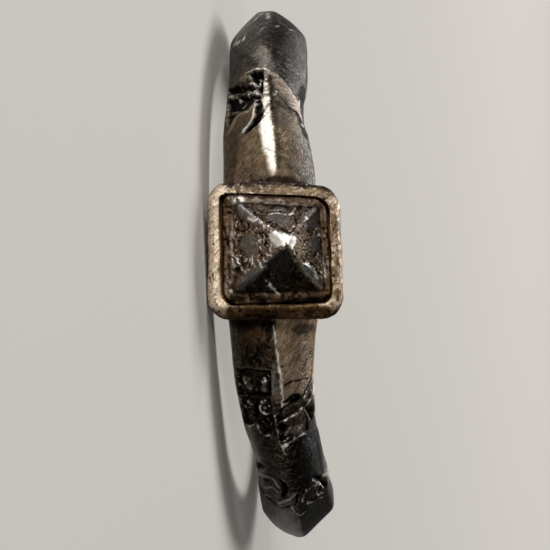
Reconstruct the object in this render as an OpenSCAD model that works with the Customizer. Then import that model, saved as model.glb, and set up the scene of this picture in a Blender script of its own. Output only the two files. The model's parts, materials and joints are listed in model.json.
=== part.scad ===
// Silver finger ring: a hoop with a ridge along its outside, and a square box
// bezel that holds a pyramid with bars on its corners and a lozenge on each face.
// The ring is modelled round its own axis, and then laid on its side as it rests.

/* [Hoop] */
// Radius of the finger hole
finger_r = 9.2; // [8.6:0.1:10]
// Thickness of the hoop from the finger hole to the top of the ridge
ridge_wall = 2.45; // [2.2:0.05:2.8]
// Thickness of the hoop at its two side edges
edge_wall = 1.1; // [0.9:0.05:1.3]
// Scale of the hoop's width
width_scale = 1; // [0.9:0.05:1.1]
// Depth of the engraving
engraving_depth = 0.2; // [0.1:0.02:0.3]

/* [Bezel] */
// Width of the box across the hoop
box_w = 5.75; // [5.5:0.05:6.2]
// Length of the box along the hoop
box_l = 5.65; // [5.5:0.05:6.2]
// Turn of the box on the hoop, in degrees
box_turn = 4; // [-6:0.5:6]
// Sideways shift of the box on the hoop
box_shift = -0.15; // [-0.5:0.05:0.5]
// Height of the rim above the hoop's ridge
rim_rise = 1.05; // [0.8:0.05:1.4]
// Scale of the recess and of the pyramid in it, seen from the front
recess_scale = 1; // [0.94:0.01:1.03]
// Depth of the recess below the rim
recess_depth = 1; // [0.7:0.05:1.2]

/* [Pyramid] */
// Gap between the pyramid and the walls of the recess
setting_gap = 0.1; // [0.06:0.01:0.16]
// Height of the pyramid's point above the rim
point_rise = 1.85; // [1.2:0.05:2.4]
// Width of the bars on the pyramid's corners
bar_w = 0.46; // [0.3:0.02:0.6]
// How far bars and lozenges stand out of the faces
relief = 0.16; // [0.1:0.01:0.24]

/* [Rest] */
// Lean of the ring to its front as it lies, in degrees
lean_front = 4.5; // [0:0.1:8]
// Lean of the ring along its hoop as it lies, in degrees
lean_along = -1.4; // [-4:0.1:4]

/* [Hidden] */
silver = "#8f867c";
dark_silver = "#6f6b68";
cut = 1;                // extra length of a cutting shape
thin = 0.01;            // thickness of the slabs that a hull joins

// Hoop
stations = 144;         // sections round the hoop
bevel = 0.14;           // rounding of the hoop's side edges
swell = 0.11;           // how far the middle of a facet stands out, each way
edge_r = finger_r + edge_wall;
ridge_r = finger_r + ridge_wall;

// Bezel
rim_r = ridge_r + rim_rise;
box_foot_r = ridge_r - 1.25;
box_foot = 0.5;         // how much narrower the box is at its foot
box_corner = 1.1;       // radius of the box's upright corners
recess_corner = 0.55;   // radius of the recess's corners
rim_flat = 0.7;         // how much smaller than the box the flat of its rim is
rim_slope = 0.5;        // how far the rim falls from its flat to its outer edge

// Pyramid
seat_gap = 0.02;        // between the pyramid's foot and the recess floor
plate_drop = 0.3;       // from the rim down to the plate round the pyramid
plate_r = rim_r - plate_drop;
face_foot = 0.2;        // how deep the faces' foot is sunk in the plate
bar_reach = 0.9;        // how far the bars reach out to the base's corners
border_w = 0.14;        // width of the raised border round the plate
border_h = 0.12;        // height of that border
point = [0.60, 0.34];   // place of the point across and along the hoop
point_blunt = 0.3;      // width of the worn point

// Corners of the recess and of the pyramid's base, which are both a little
// askew. Columns: place across and along the hoop, as seen from the front.
recess_corners = [[-2.25, 2.45], [2.20, 2.22], [2.42, -2.00], [-2.16, -2.16]];
base_corners = [[-1.82, 2.14], [1.84, 2.00], [2.10, -1.66], [-1.90, -1.76]];

// Columns: degrees from the bezel, width of the hoop, sideways shift of its
// middle, sideways shift of the ridge from that middle, width of the ridge's flat.
hoop_table = [
    [-180, 2.40, -0.12,  0.05, 0.50],
    [-140, 2.40, -0.18,  0.10, 0.40],
    [-112, 2.85, -0.02,  0.10, 0.34],
    [ -90, 3.20, -0.02,  0.00, 0.32],
    [ -66, 3.08, -0.16,  0.08, 0.28],
    [ -53, 2.98, -0.27,  0.00, 0.26],
    [ -43, 3.16, -0.49,  0.12, 0.30],
    [ -30, 3.42, -0.59,  0.11, 0.46],
    [ -20, 3.70, -0.50,  0.05, 0.30],
    [ -12, 3.92, -0.40,  0.02, 0.22],
    [   0, 4.00, -0.34,  0.20, 0.28],
    [  14, 4.00, -0.25,  0.26, 0.28],
    [  22, 3.96, -0.20,  0.16, 0.46],
    [  28, 3.82, -0.21,  0.08, 0.58],
    [  35, 3.62, -0.23,  0.10, 0.34],
    [  44, 3.42, -0.15,  0.08, 0.16],
    [  56, 3.42,  0.02, -0.04, 0.30],
    [  68, 3.44,  0.06, -0.02, 0.62],
    [  90, 3.35,  0.12, -0.02, 0.88],
    [ 112, 2.95,  0.08,  0.00, 0.60],
    [ 140, 2.50, -0.05,  0.05, 0.50],
    [ 180, 2.40, -0.12,  0.05, 0.50],
];
WIDTH = 1;
SHIFT = 2;
RIDGE = 3;
FLAT = 4;

// Leaf-shaped cuts in the facets. Columns: degrees from the bezel, sideways
// place, length, width, and turn on the facet in degrees.
leaf_table = [
    [ 46.0, -0.55, 1.1, 0.34,  105],
    [ 43.5, -1.15, 1.1, 0.36,  110],
    [ 37.5, -1.05, 1.2, 0.36,  120],
    [ 33.5, -1.15, 1.5, 0.36,  145],
    [ 31.0, -0.75, 1.2, 0.36,  140],
    [ 42.5,  0.75, 2.0, 0.42,   50],
    [ 44.0,  1.62, 1.6, 0.46,    0],
    [-29.5, -1.45, 1.5, 0.80,    0],
    [-36.5, -1.25, 1.2, 0.60,   20],
    [-32.5,  0.35, 1.7, 0.40,   60],
    [-38.5, -0.05, 1.1, 0.36,   70],
    [-43.5,  0.95, 1.6, 0.34,   10],
    [-57.5, -0.75, 1.2, 0.34,    0],
    [-61.0, -1.20, 1.3, 0.40,  120],
    [-63.0,  0.30, 1.3, 0.36,   80],
    [-63.5,  1.10, 0.9, 0.30,    0],
];
leaf_steps = 6;

// Raised lozenges on the pyramid's faces. Columns: place across and along the
// hoop, width and length, all as seen from the front.
lozenge_table = [
    [-1.10,  0.45, 0.75, 1.30],
    [ 1.68,  0.40, 0.50, 1.00],
    [ 0.20,  1.62, 0.90, 0.80],
    [ 0.42, -1.10, 0.60, 0.90],
];

// A smooth curve through the rows of the hoop's table, closed round the hoop.
last = len(hoop_table) - 1;
turn_back = [360, 0, 0, 0, 0];
function row(i) = i < 0 ? hoop_table[last + i] - turn_back
    : i > last ? hoop_table[i - last] + turn_back
    : hoop_table[i];
function slope(i, c) = (row(i + 1)[c] - row(i - 1)[c]) / (row(i + 1)[0] - row(i - 1)[0]);
function row_before(a) = max([for (i = [0 : last - 1]) if (hoop_table[i][0] <= a) i]);
function at(a, c) = let (
        i = row_before(a),
        step = row(i + 1)[0] - row(i)[0],
        s = (a - row(i)[0]) / step)
    (2 * s ^ 3 - 3 * s ^ 2 + 1) * row(i)[c]
    + (s ^ 3 - 2 * s ^ 2 + s) * step * slope(i, c)
    + (3 * s ^ 2 - 2 * s ^ 3) * row(i + 1)[c]
    + (s ^ 3 - s ^ 2) * step * slope(i + 1, c);

// The hoop's section at an angle, as [radius, sideways] pairs. Each facet swells
// a little between the edge of the hoop and the flat of the ridge.
function section(a) = let (
        half = at(a, WIDTH) * width_scale / 2,
        middle = at(a, SHIFT),
        top = middle + at(a, RIDGE),
        flat = at(a, FLAT) / 2,
        low = middle - half,
        high = middle + half,
        mid_r = (edge_r + ridge_r) / 2 + swell)
    [
        [finger_r - cut, low],
        [edge_r - bevel, low],
        [edge_r + bevel / 2, low + bevel],
        [mid_r, (low + top - flat) / 2 - swell],
        [ridge_r - bevel / 2, top - flat - bevel],
        [ridge_r, top - flat],
        [ridge_r, top + flat],
        [ridge_r - bevel / 2, top + flat + bevel],
        [mid_r, (high + top + flat) / 2 + swell],
        [edge_r + bevel / 2, high - bevel],
        [edge_r - bevel, high],
        [finger_r - cut, high],
    ];
function place(a, p) = [-p[0] * sin(a), -p[0] * cos(a), p[1]];
function station_angle(i) = 360 * i / stations - 180;

module hoop() {
    n = len(section(0));
    points = [for (i = [0 : stations - 1], p = section(station_angle(i))) place(station_angle(i), p)];
    faces = [for (i = [0 : stations - 1], j = [0 : n - 1], half = [0, 1])
        let (
            here = i * n,
            next = ((i + 1) % stations) * n,
            k = (j + 1) % n)
        half == 0 ? [here + j, next + k, here + k] : [here + j, next + j, next + k]];
    polyhedron(points = points, faces = faces);
}

// Radius of a facet's straight line at an angle and a sideways place, and its slope.
function side_of(a, z) = z < at(a, SHIFT) + at(a, RIDGE) ? -1 : 1;
function facet_rise(a, side) = (ridge_wall - edge_wall)
    / (at(a, WIDTH) / 2 - side * at(a, RIDGE) - at(a, FLAT) / 2);
function facet_r(a, z) = let (
        out = abs(z - at(a, SHIFT) - at(a, RIDGE)) - at(a, FLAT) / 2)
    ridge_r - max(0, out) * facet_rise(a, side_of(a, z));

// Puts a shape on a facet, with its Z out of the surface, its X across the hoop
// and its Y along it.
module on_facet(a, z) {
    tilt = atan(facet_rise(a, side_of(a, z)));
    rotate([0, 0, -a])
        translate([0, -facet_r(a, z), z])
            rotate([90, 0, 0])
                rotate([0, 0, 90])
                    rotate([0, side_of(a, z) * tilt, 0])
                        children();
}

function leaf(l, w) = [
    for (i = [0 : 2 * leaf_steps - 1])
        let (t = i / leaf_steps)
        [w / 2 * sin(180 * t), -l / 2 * cos(180 * t)]
];

module engraving() {
    for (cutter = leaf_table)
        on_facet(cutter[0], cutter[1])
            rotate([0, 0, cutter[4]])
                translate([0, 0, -engraving_depth])
                    linear_extrude(engraving_depth + cut)
                        polygon(leaf(cutter[2], cutter[3]));
}

// Stands a shape on the front of the hoop: its X runs across the hoop, its Y
// along it, and its Z out of it, measured from the hoop's axis.
module at_front() {
    translate([0, 0, box_shift])
        rotate([90, 0, 0])
            rotate([0, 0, 90 - box_turn])
                children();
}

module round_square(w, l, r) {
    offset(r = r, $fn = 32)
        square([w - 2 * r, l - 2 * r], center = true);
}

module slab(w, l, r, z) {
    translate([0, 0, z])
        linear_extrude(thin)
            round_square(w, l, r);
}

module box() {
    hull() {
        slab(box_w - box_foot, box_l - box_foot, box_corner, box_foot_r);
        slab(box_w, box_l, box_corner, rim_r - rim_slope);
        slab(box_w - rim_flat / 3, box_l - rim_flat / 3, box_corner, rim_r - rim_slope / 3);
        slab(box_w - rim_flat, box_l - rim_flat, box_corner - rim_flat / 2, rim_r - thin);
    }
}

// The outline of the recess, drawn in by a gap.
module recess_outline(gap) {
    offset(r = recess_corner - gap, $fn = 32)
        offset(delta = -recess_corner)
            scale(recess_scale)
                polygon(recess_corners);
}

module recess() {
    translate([0, 0, rim_r - recess_depth])
        linear_extrude(recess_depth + cut)
            recess_outline(0);
}

module hoop_and_bezel() {
    color(silver)
        difference() {
            union() {
                hoop();
                at_front() box();
            }
            cylinder(h = 4 * ridge_r, r = finger_r, center = true, $fn = 120);
            at_front() recess();
            engraving();
        }
}

// The outline of the pyramid's base, pushed out by a distance.
module base_outline(out) {
    offset(delta = out)
        scale(recess_scale)
            polygon(base_corners);
}

// The plain pyramid, with its faces pushed out by a distance.
module pyramid_faces(out) {
    hull() {
        translate([0, 0, plate_r - face_foot])
            linear_extrude(face_foot)
                base_outline(out);
        translate([point[0], point[1], rim_r + point_rise - relief + out - thin])
            linear_extrude(thin)
                circle(d = point_blunt, $fn = 12);
    }
}

// The bars and lozenges as seen from the front.
module bars_and_lozenges() {
    for (corner = base_corners)
        hull() {
            translate(corner * recess_scale * bar_reach)
                circle(d = bar_w, $fn = 16);
            translate(point)
                circle(d = bar_w, $fn = 16);
        }
    for (lozenge = lozenge_table)
        translate([lozenge[0], lozenge[1]])
            scale([lozenge[2], lozenge[3]])
                circle(d = 1, $fn = 4);
}

module border() {
    linear_extrude(border_h)
        difference() {
            base_outline(border_w);
            base_outline(0);
        }
}

module pyramid() {
    foot_r = rim_r - recess_depth + seat_gap;
    color(dark_silver)
        at_front() {
            translate([0, 0, foot_r])
                linear_extrude(plate_r - foot_r)
                    recess_outline(setting_gap);
            translate([0, 0, plate_r - seat_gap])
                border();
            pyramid_faces(0);
            intersection() {
                translate([0, 0, plate_r - face_foot])
                    linear_extrude(point_rise + plate_drop + cut)
                        bars_and_lozenges();
                pyramid_faces(relief);
            }
        }
}

module as_it_lies() {
    rotate([-lean_front, lean_along, 0])
        children();
}

as_it_lies() hoop_and_bezel();
as_it_lies() pyramid();
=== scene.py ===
import json
import math

import bpy
import numpy as np
from mathutils import Matrix, Vector, kdtree


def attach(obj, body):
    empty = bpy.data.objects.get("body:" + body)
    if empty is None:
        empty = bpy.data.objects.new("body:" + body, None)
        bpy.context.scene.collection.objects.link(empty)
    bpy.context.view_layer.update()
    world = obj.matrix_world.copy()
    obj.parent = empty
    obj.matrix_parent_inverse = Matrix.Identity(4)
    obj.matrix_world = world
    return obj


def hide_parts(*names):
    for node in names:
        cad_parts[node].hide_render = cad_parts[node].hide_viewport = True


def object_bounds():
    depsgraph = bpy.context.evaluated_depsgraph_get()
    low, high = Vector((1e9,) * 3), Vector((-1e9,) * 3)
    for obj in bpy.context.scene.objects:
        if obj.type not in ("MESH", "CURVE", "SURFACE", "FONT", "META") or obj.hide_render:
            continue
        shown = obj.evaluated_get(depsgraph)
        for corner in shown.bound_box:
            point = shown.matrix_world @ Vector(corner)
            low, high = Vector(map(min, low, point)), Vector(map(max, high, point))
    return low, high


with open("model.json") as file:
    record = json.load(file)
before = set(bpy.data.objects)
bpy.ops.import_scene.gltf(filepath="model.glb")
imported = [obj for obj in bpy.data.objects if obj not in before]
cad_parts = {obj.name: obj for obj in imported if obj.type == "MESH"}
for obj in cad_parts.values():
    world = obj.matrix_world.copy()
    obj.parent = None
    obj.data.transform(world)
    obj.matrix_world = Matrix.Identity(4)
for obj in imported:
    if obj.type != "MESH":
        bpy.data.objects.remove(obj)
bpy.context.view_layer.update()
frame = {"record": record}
print("frame loaded")

# Everything below is worked out in millimetres round the ring's own axis: Y runs from
# the bezel to the back of the hoop, Z runs across the hoop, and angles start at the bezel.
# layDown() then turns it as the ring lies and brings it to metres.
mm = 0.001
holeAxis = frame["record"]["mounts"][0]["axis"]
leanFront = -math.asin(holeAxis[1])
leanAlong = math.atan2(holeAxis[0], holeAxis[2])
asItLies = np.array(Matrix.Rotation(leanAlong, 3, "Y") @ Matrix.Rotation(leanFront, 3, "X"))


def layDown(points):
    return (points @ asItLies.T) * mm


# Camera

camera = {
    "azimuth": 4.1,        # degrees round the ring from its front
    "elevation": 5.2,      # degrees above the surface that the ring lies on
    "roll": -2.6,          # degrees, after the camera is laid on its side
    "distance": 250,       # mm
    "sensor": 36,          # mm
    "lens": 368.6,
    "aimRight": -0.339,    # mm in the picture from the middle of the finger hole
    "aimUp": 0.023,
    "clip": (0.01, 10),    # metres, nearest and furthest
}


def addCamera():
    turn, rise, roll = (math.radians(camera[name]) for name in ("azimuth", "elevation", "roll"))
    back = Vector((math.sin(turn) * math.cos(rise), -math.cos(turn) * math.cos(rise), math.sin(rise)))
    right = Vector((-1, 0, 0)).cross(back).normalized()
    up = back.cross(right)
    pictureRight = math.cos(roll) * right + math.sin(roll) * up
    pictureUp = -math.sin(roll) * right + math.cos(roll) * up
    aim = (camera["aimRight"] * pictureRight + camera["aimUp"] * pictureUp) * mm
    data = bpy.data.cameras.new("camera")
    data.sensor_width = camera["sensor"]
    data.lens = camera["lens"]
    data.clip_start, data.clip_end = camera["clip"]
    holder = bpy.data.objects.new("camera", data)
    turned = Matrix((pictureRight, pictureUp, back)).transposed().to_4x4()
    holder.matrix_world = Matrix.Translation(aim + back * camera["distance"] * mm) @ turned
    bpy.context.scene.collection.objects.link(holder)
    bpy.context.scene.camera = holder


addCamera()
print("camera placed")


# Helpers for shapes

def easeIn(x, low, high):
    t = np.clip((x - low) / (high - low), 0, 1)
    return t * t * (3 - 2 * t)


# 1 between two places, easing in before the first and out after the second
def between(x, start, full, still, end):
    return easeIn(x, start, full) * (1 - easeIn(x, still, end))


# A soft bump round a place
def hump(x, middle, reach):
    return np.exp(-((x - middle) / reach) ** 2)


# Flat places as points, for lumps()
def flatPoints(x, y):
    return np.stack([x, y, 0 * x], -1)


hashFactors = np.array([73856093, 19349663, 83492791])    # they scramble a cell's place
hashStir = 1274126177
seedStride = 7.31    # cells between one seed's lumps and the next's


# Smooth seeded lumps from -1 to 1, as large as size
def lumps(points, size, seed):
    cell = points / size + seed * seedStride
    base = np.floor(cell).astype(np.int64)
    part = cell - base
    part = part * part * (3 - 2 * part)
    total = np.zeros(points.shape[:-1])
    for corner in np.ndindex(2, 2, 2):
        key = (base + corner) @ hashFactors
        key = (key ^ (key >> 13)) * hashStir
        value = ((key ^ (key >> 16)) & 65535) / 32767.5 - 1
        total += value * np.prod(np.where(corner, part, 1 - part), axis=-1)
    return total


# Layers of lumps added up. Each layer is an amount, a size in mm and a seed.
def uneven(points, layers, base=0):
    for amount, size, seed in layers:
        base = base + amount * lumps(points, size, seed)
    return base


# A smooth line through given points
def drawnLine(points, steps=6):
    p = np.array(points, float)
    p = np.vstack([2 * p[0] - p[1], p, 2 * p[-1] - p[-2]])
    t = np.linspace(0, 1, steps, endpoint=False)[:, None]
    parts = []
    for a, b, c, d in zip(p, p[1:], p[2:], p[3:]):
        parts.append(b + t * (c - a) / 2 + t ** 2 * (a - 2.5 * b + 2 * c - d / 2)
                     + t ** 3 * (1.5 * (b - c) + (d - a) / 2))
    return np.vstack(parts + [p[-2:-1]])


# Distance from a line, which side of it, and how far along it
def nearLine(u, v, line):
    best = np.full(u.shape, np.inf)
    side = np.zeros(u.shape)
    along = np.zeros(u.shape)
    for i, (a, b) in enumerate(zip(line, line[1:])):
        d = b - a
        t = np.clip(((u - a[0]) * d[0] + (v - a[1]) * d[1]) / max(d @ d, 1e-12), 0, 1)
        du = u - a[0] - t * d[0]
        dv = v - a[1] - t * d[1]
        distance = np.hypot(du, dv)
        closer = distance < best
        best = np.where(closer, distance, best)
        side = np.where(closer, np.sign(d[0] * dv - d[1] * du), side)
        along = np.where(closer, (i + t) / (len(line) - 1), along)
    return best, side, along


# Distance from the edge of an area, above zero inside it
def insideArea(u, v, corners):
    corners = np.array(corners, float)
    closed = np.vstack([corners, corners[:1]])
    distance, _, _ = nearLine(u, v, closed)
    inside = np.zeros(u.shape, bool)
    for a, b in zip(closed, closed[1:]):
        crosses = (a[1] > v) != (b[1] > v)
        rise = b[1] - a[1] if b[1] != a[1] else 1e-12
        inside ^= crosses & (u < a[0] + (v - a[1]) * (b[0] - a[0]) / rise)
    return np.where(inside, distance, -distance)


# A mean over neighbours on a grid, to find what stands out of it and what lies in it
def blurred(grid, passes):
    for _ in range(passes):
        grid = (np.roll(grid, 1, 0) + 2 * grid + np.roll(grid, -1, 0)) / 4
        padded = np.pad(grid, ((0, 0), (1, 1)), mode="edge")
        grid = (padded[:, :-2] + 2 * grid + padded[:, 2:]) / 4
    return grid


# Rounds off closed outlines, one in each row
def rounded(outlines, passes):
    for _ in range(passes):
        outlines = (np.roll(outlines, 1, 1) + 2 * outlines + np.roll(outlines, -1, 1)) / 4
    return outlines


# Faces of a grid that is closed along its rows, and across too where asked
def gridFaces(rows, columns, closedAcross):
    strips = columns if closedAcross else columns - 1
    i, j = np.meshgrid(np.arange(rows), np.arange(strips), indexing="ij")
    here, after = i * columns, (i + 1) % rows * columns
    nextColumn = (j + 1) % columns
    corners = (here + j, after + j, after + nextColumn, here + nextColumn)
    return np.stack(corners, -1).reshape(-1, 4).tolist()


def newPiece(name, points, faces):
    mesh = bpy.data.meshes.new(name)
    mesh.from_pydata(points.tolist(), [], faces)
    mesh.update()
    piece = bpy.data.objects.new(name, mesh)
    bpy.context.scene.collection.objects.link(piece)
    return piece


# Faces look outwards where the mesh holds a volume above zero
def turnOutwards(piece):
    mesh = piece.data
    mesh.calc_loop_triangles()
    co = np.array([v.co for v in mesh.vertices])
    tri = np.array([t.vertices for t in mesh.loop_triangles])
    volume = np.einsum("ij,ij->", co[tri[:, 0]], np.cross(co[tri[:, 1]], co[tri[:, 2]])) / 6
    if volume < 0:
        mesh.flip_normals()


def storeValues(piece, name, values):
    kind = "FLOAT" if values.ndim == 1 else "FLOAT_VECTOR"
    layer = piece.data.attributes.new(name, kind, "POINT")
    layer.data.foreach_set("value" if values.ndim == 1 else "vector", values.astype(np.float32).ravel())


def shadeSmooth(piece, sharpAngle):
    piece.data.shade_smooth()
    piece.data.set_sharp_from_angle(angle=math.radians(sharpAngle))


# Half the angle at a corner of a four-cornered shape
def cornerHalf(corners, i):
    a = corners[i - 1] - corners[i]
    b = corners[(i + 1) % 4] - corners[i]
    return math.acos(np.clip(a @ b / np.linalg.norm(a) / np.linalg.norm(b), -1, 1)) / 2


# The outline of a rounded four-cornered shape, with its points in step from level to level
def roundedOutline(corners, radii, perSide, perCorner):
    corners = np.array(corners, float)
    halves = [cornerHalf(corners, i) for i in range(4)]
    points = []
    for i in range(4):
        before, here, after = corners[i - 1], corners[i], corners[(i + 1) % 4]
        towardsBefore = (before - here) / np.linalg.norm(before - here)
        towardsAfter = (after - here) / np.linalg.norm(after - here)
        middle = (towardsBefore + towardsAfter) / np.linalg.norm(towardsBefore + towardsAfter)
        centre = here + middle * radii[i] / math.sin(halves[i])
        reach = radii[i] / math.tan(halves[i])
        first = here + towardsBefore * reach - centre
        last = here + towardsAfter * reach - centre
        turn = math.atan2(first[0] * last[1] - first[1] * last[0], first @ last)
        for t in np.arange(perCorner) / perCorner:
            c, s = math.cos(turn * t), math.sin(turn * t)
            points.append(centre + [c * first[0] - s * first[1], s * first[0] + c * first[1]])
        start = centre + last
        nextCorner = (i + 1) % 4
        end = after - towardsAfter * radii[nextCorner] / math.tan(halves[nextCorner])
        for t in np.arange(perSide) / perSide:
            points.append(start + (end - start) * t)
    return np.array(points)


# Hoop

hoop = {
    "holeR": 9.2,          # mm, radius of the finger hole
    "edgeR": 10.3,         # outer radius at the side edges
    "ridgeR": 11.65,       # radius of the ridge
    "meanR": 11.1,         # radius used to turn degrees into mm
    "crown": 0.10,         # how much higher the ridge stands at the top of the picture
    "crownSpan": (62, 80, 100, 125),    # degrees: it starts, is full, is still full, has ended
    "bevel": 0.14,         # rounding of the side edges
    "innerRound": 0.14,    # rounding of the edges of the finger hole
    "swell": 0.11,         # how far a facet's middle stands out
    "flatSpan": (66, 80),  # degrees over which the facets grow flatter above the bezel
    "leftFlat": 0.7,       # by how much
    "rightFlat": 0.5,
    "tipSpan": (58, 74),   # the same below the bezel, for the right facet alone
    "roundSpan": (45, 50, 64, 74),      # degrees where the ridge is worn rounder
    "roundAbove": (0.3, 0.7),           # mm above the side edges where that sets in
    "cornerPasses": 2,     # smoothing of the section, and of the worn ridge
    "ridgePasses": 20,
    "sectionPoints": (2, 4, 3, 42, 2, 7, 2, 42, 3, 4, 2, 8),    # mesh points on each stretch of it
    "sharpAngle": 50,      # degrees, past which a mesh edge is shaded sharp
    "facetStretch": 1.2,   # length on a facet for each mm across the hoop
    "engraving": 1.25,     # scale of the engraving's depth
    # layers of lumps: amount, size in mm, seed
    "hammered": [(0.022, 1.3, 1), (0.008, 0.4, 2)],
    "cutGrain": [(0.022, 0.09, 7)],
    "raggedEdges": [(0.04, 0.14, 19)],
    "crumbs": [(0.25, 0.07, 36)],
    "streaks": [(1, 0.36, 41), (0.7, 0.18, 42)],
    "patchy": [(1, 0.06, 40)],
    "brokenLips": [(1, 0.13, 10)],
    "bandEdges": [(0.06, 0.16, 3), (0.05, 0.07, 4)],
    "ribs": [(1, 0.055, 17)],
    "nicks": [(1, 0.11, 5), (0.6, 0.05, 6)],
    "notchEdge": [(0.04, 0.2, 44)],
    "clouds": [(0.16, 0.9, 8), (0.10, 0.35, 9)],
    "paintedGlints": [(1, 0.09, 20), (0.5, 0.045, 34)],
}

# Columns: degrees from the bezel, width of the hoop, sideways shift of its middle,
# sideways shift of the ridge from that middle, width of the ridge's flat, and how much
# further out the side edges stand.
hoopTable = [
    [-180, 2.40, -0.12, 0.05, 0.50, 0.00],
    [-140, 2.40, -0.18, 0.10, 0.40, 0.00],
    [-112, 2.85, -0.02, 0.10, 0.34, 0.10],
    [-90, 3.20, -0.02, 0.00, 0.24, 0.20],
    [-66, 3.08, -0.16, 0.08, 0.28, 0.12],
    [-53, 2.98, -0.27, 0.00, 0.26, 0.04],
    [-43, 3.16, -0.49, 0.12, 0.30, 0.00],
    [-30, 3.42, -0.59, 0.11, 0.46, 0.00],
    [-20, 3.70, -0.50, 0.05, 0.30, 0.00],
    [-12, 3.92, -0.40, 0.02, 0.22, 0.00],
    [0, 4.00, -0.34, 0.20, 0.28, 0.00],
    [14, 4.00, -0.25, 0.26, 0.28, 0.00],
    [22, 3.96, -0.20, 0.16, 0.46, 0.00],
    [28, 3.82, -0.21, 0.08, 0.58, 0.00],
    [35, 3.62, -0.23, 0.10, 0.34, 0.00],
    [44, 3.42, -0.15, 0.08, 0.16, 0.00],
    [56, 3.42, 0.02, -0.04, 0.30, 0.08],
    [68, 3.44, 0.06, -0.02, 0.52, 0.20],
    [90, 3.35, 0.12, -0.02, 0.62, 0.28],
    [112, 2.95, 0.08, 0.00, 0.56, 0.20],
    [140, 2.50, -0.05, 0.05, 0.50, 0.04],
]
widthColumn, shiftColumn, ridgeColumn, flatColumn, edgeColumn = 1, 2, 3, 4, 5

# How finely the hoop is divided. Columns: from, to, step, all in degrees.
hoopSteps = [
    [-180, -95, 2.6],
    [-95, -73, 0.7],
    [-73, -50, 0.29],
    [-50, -23, 0.19],
    [-23, -12, 0.42],
    [-12, 12, 1.2],
    [12, 27, 0.3],
    [27, 53, 0.18],
    [53, 76, 0.4],
    [76, 95, 0.8],
    [95, 180, 2.6],
]
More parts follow.
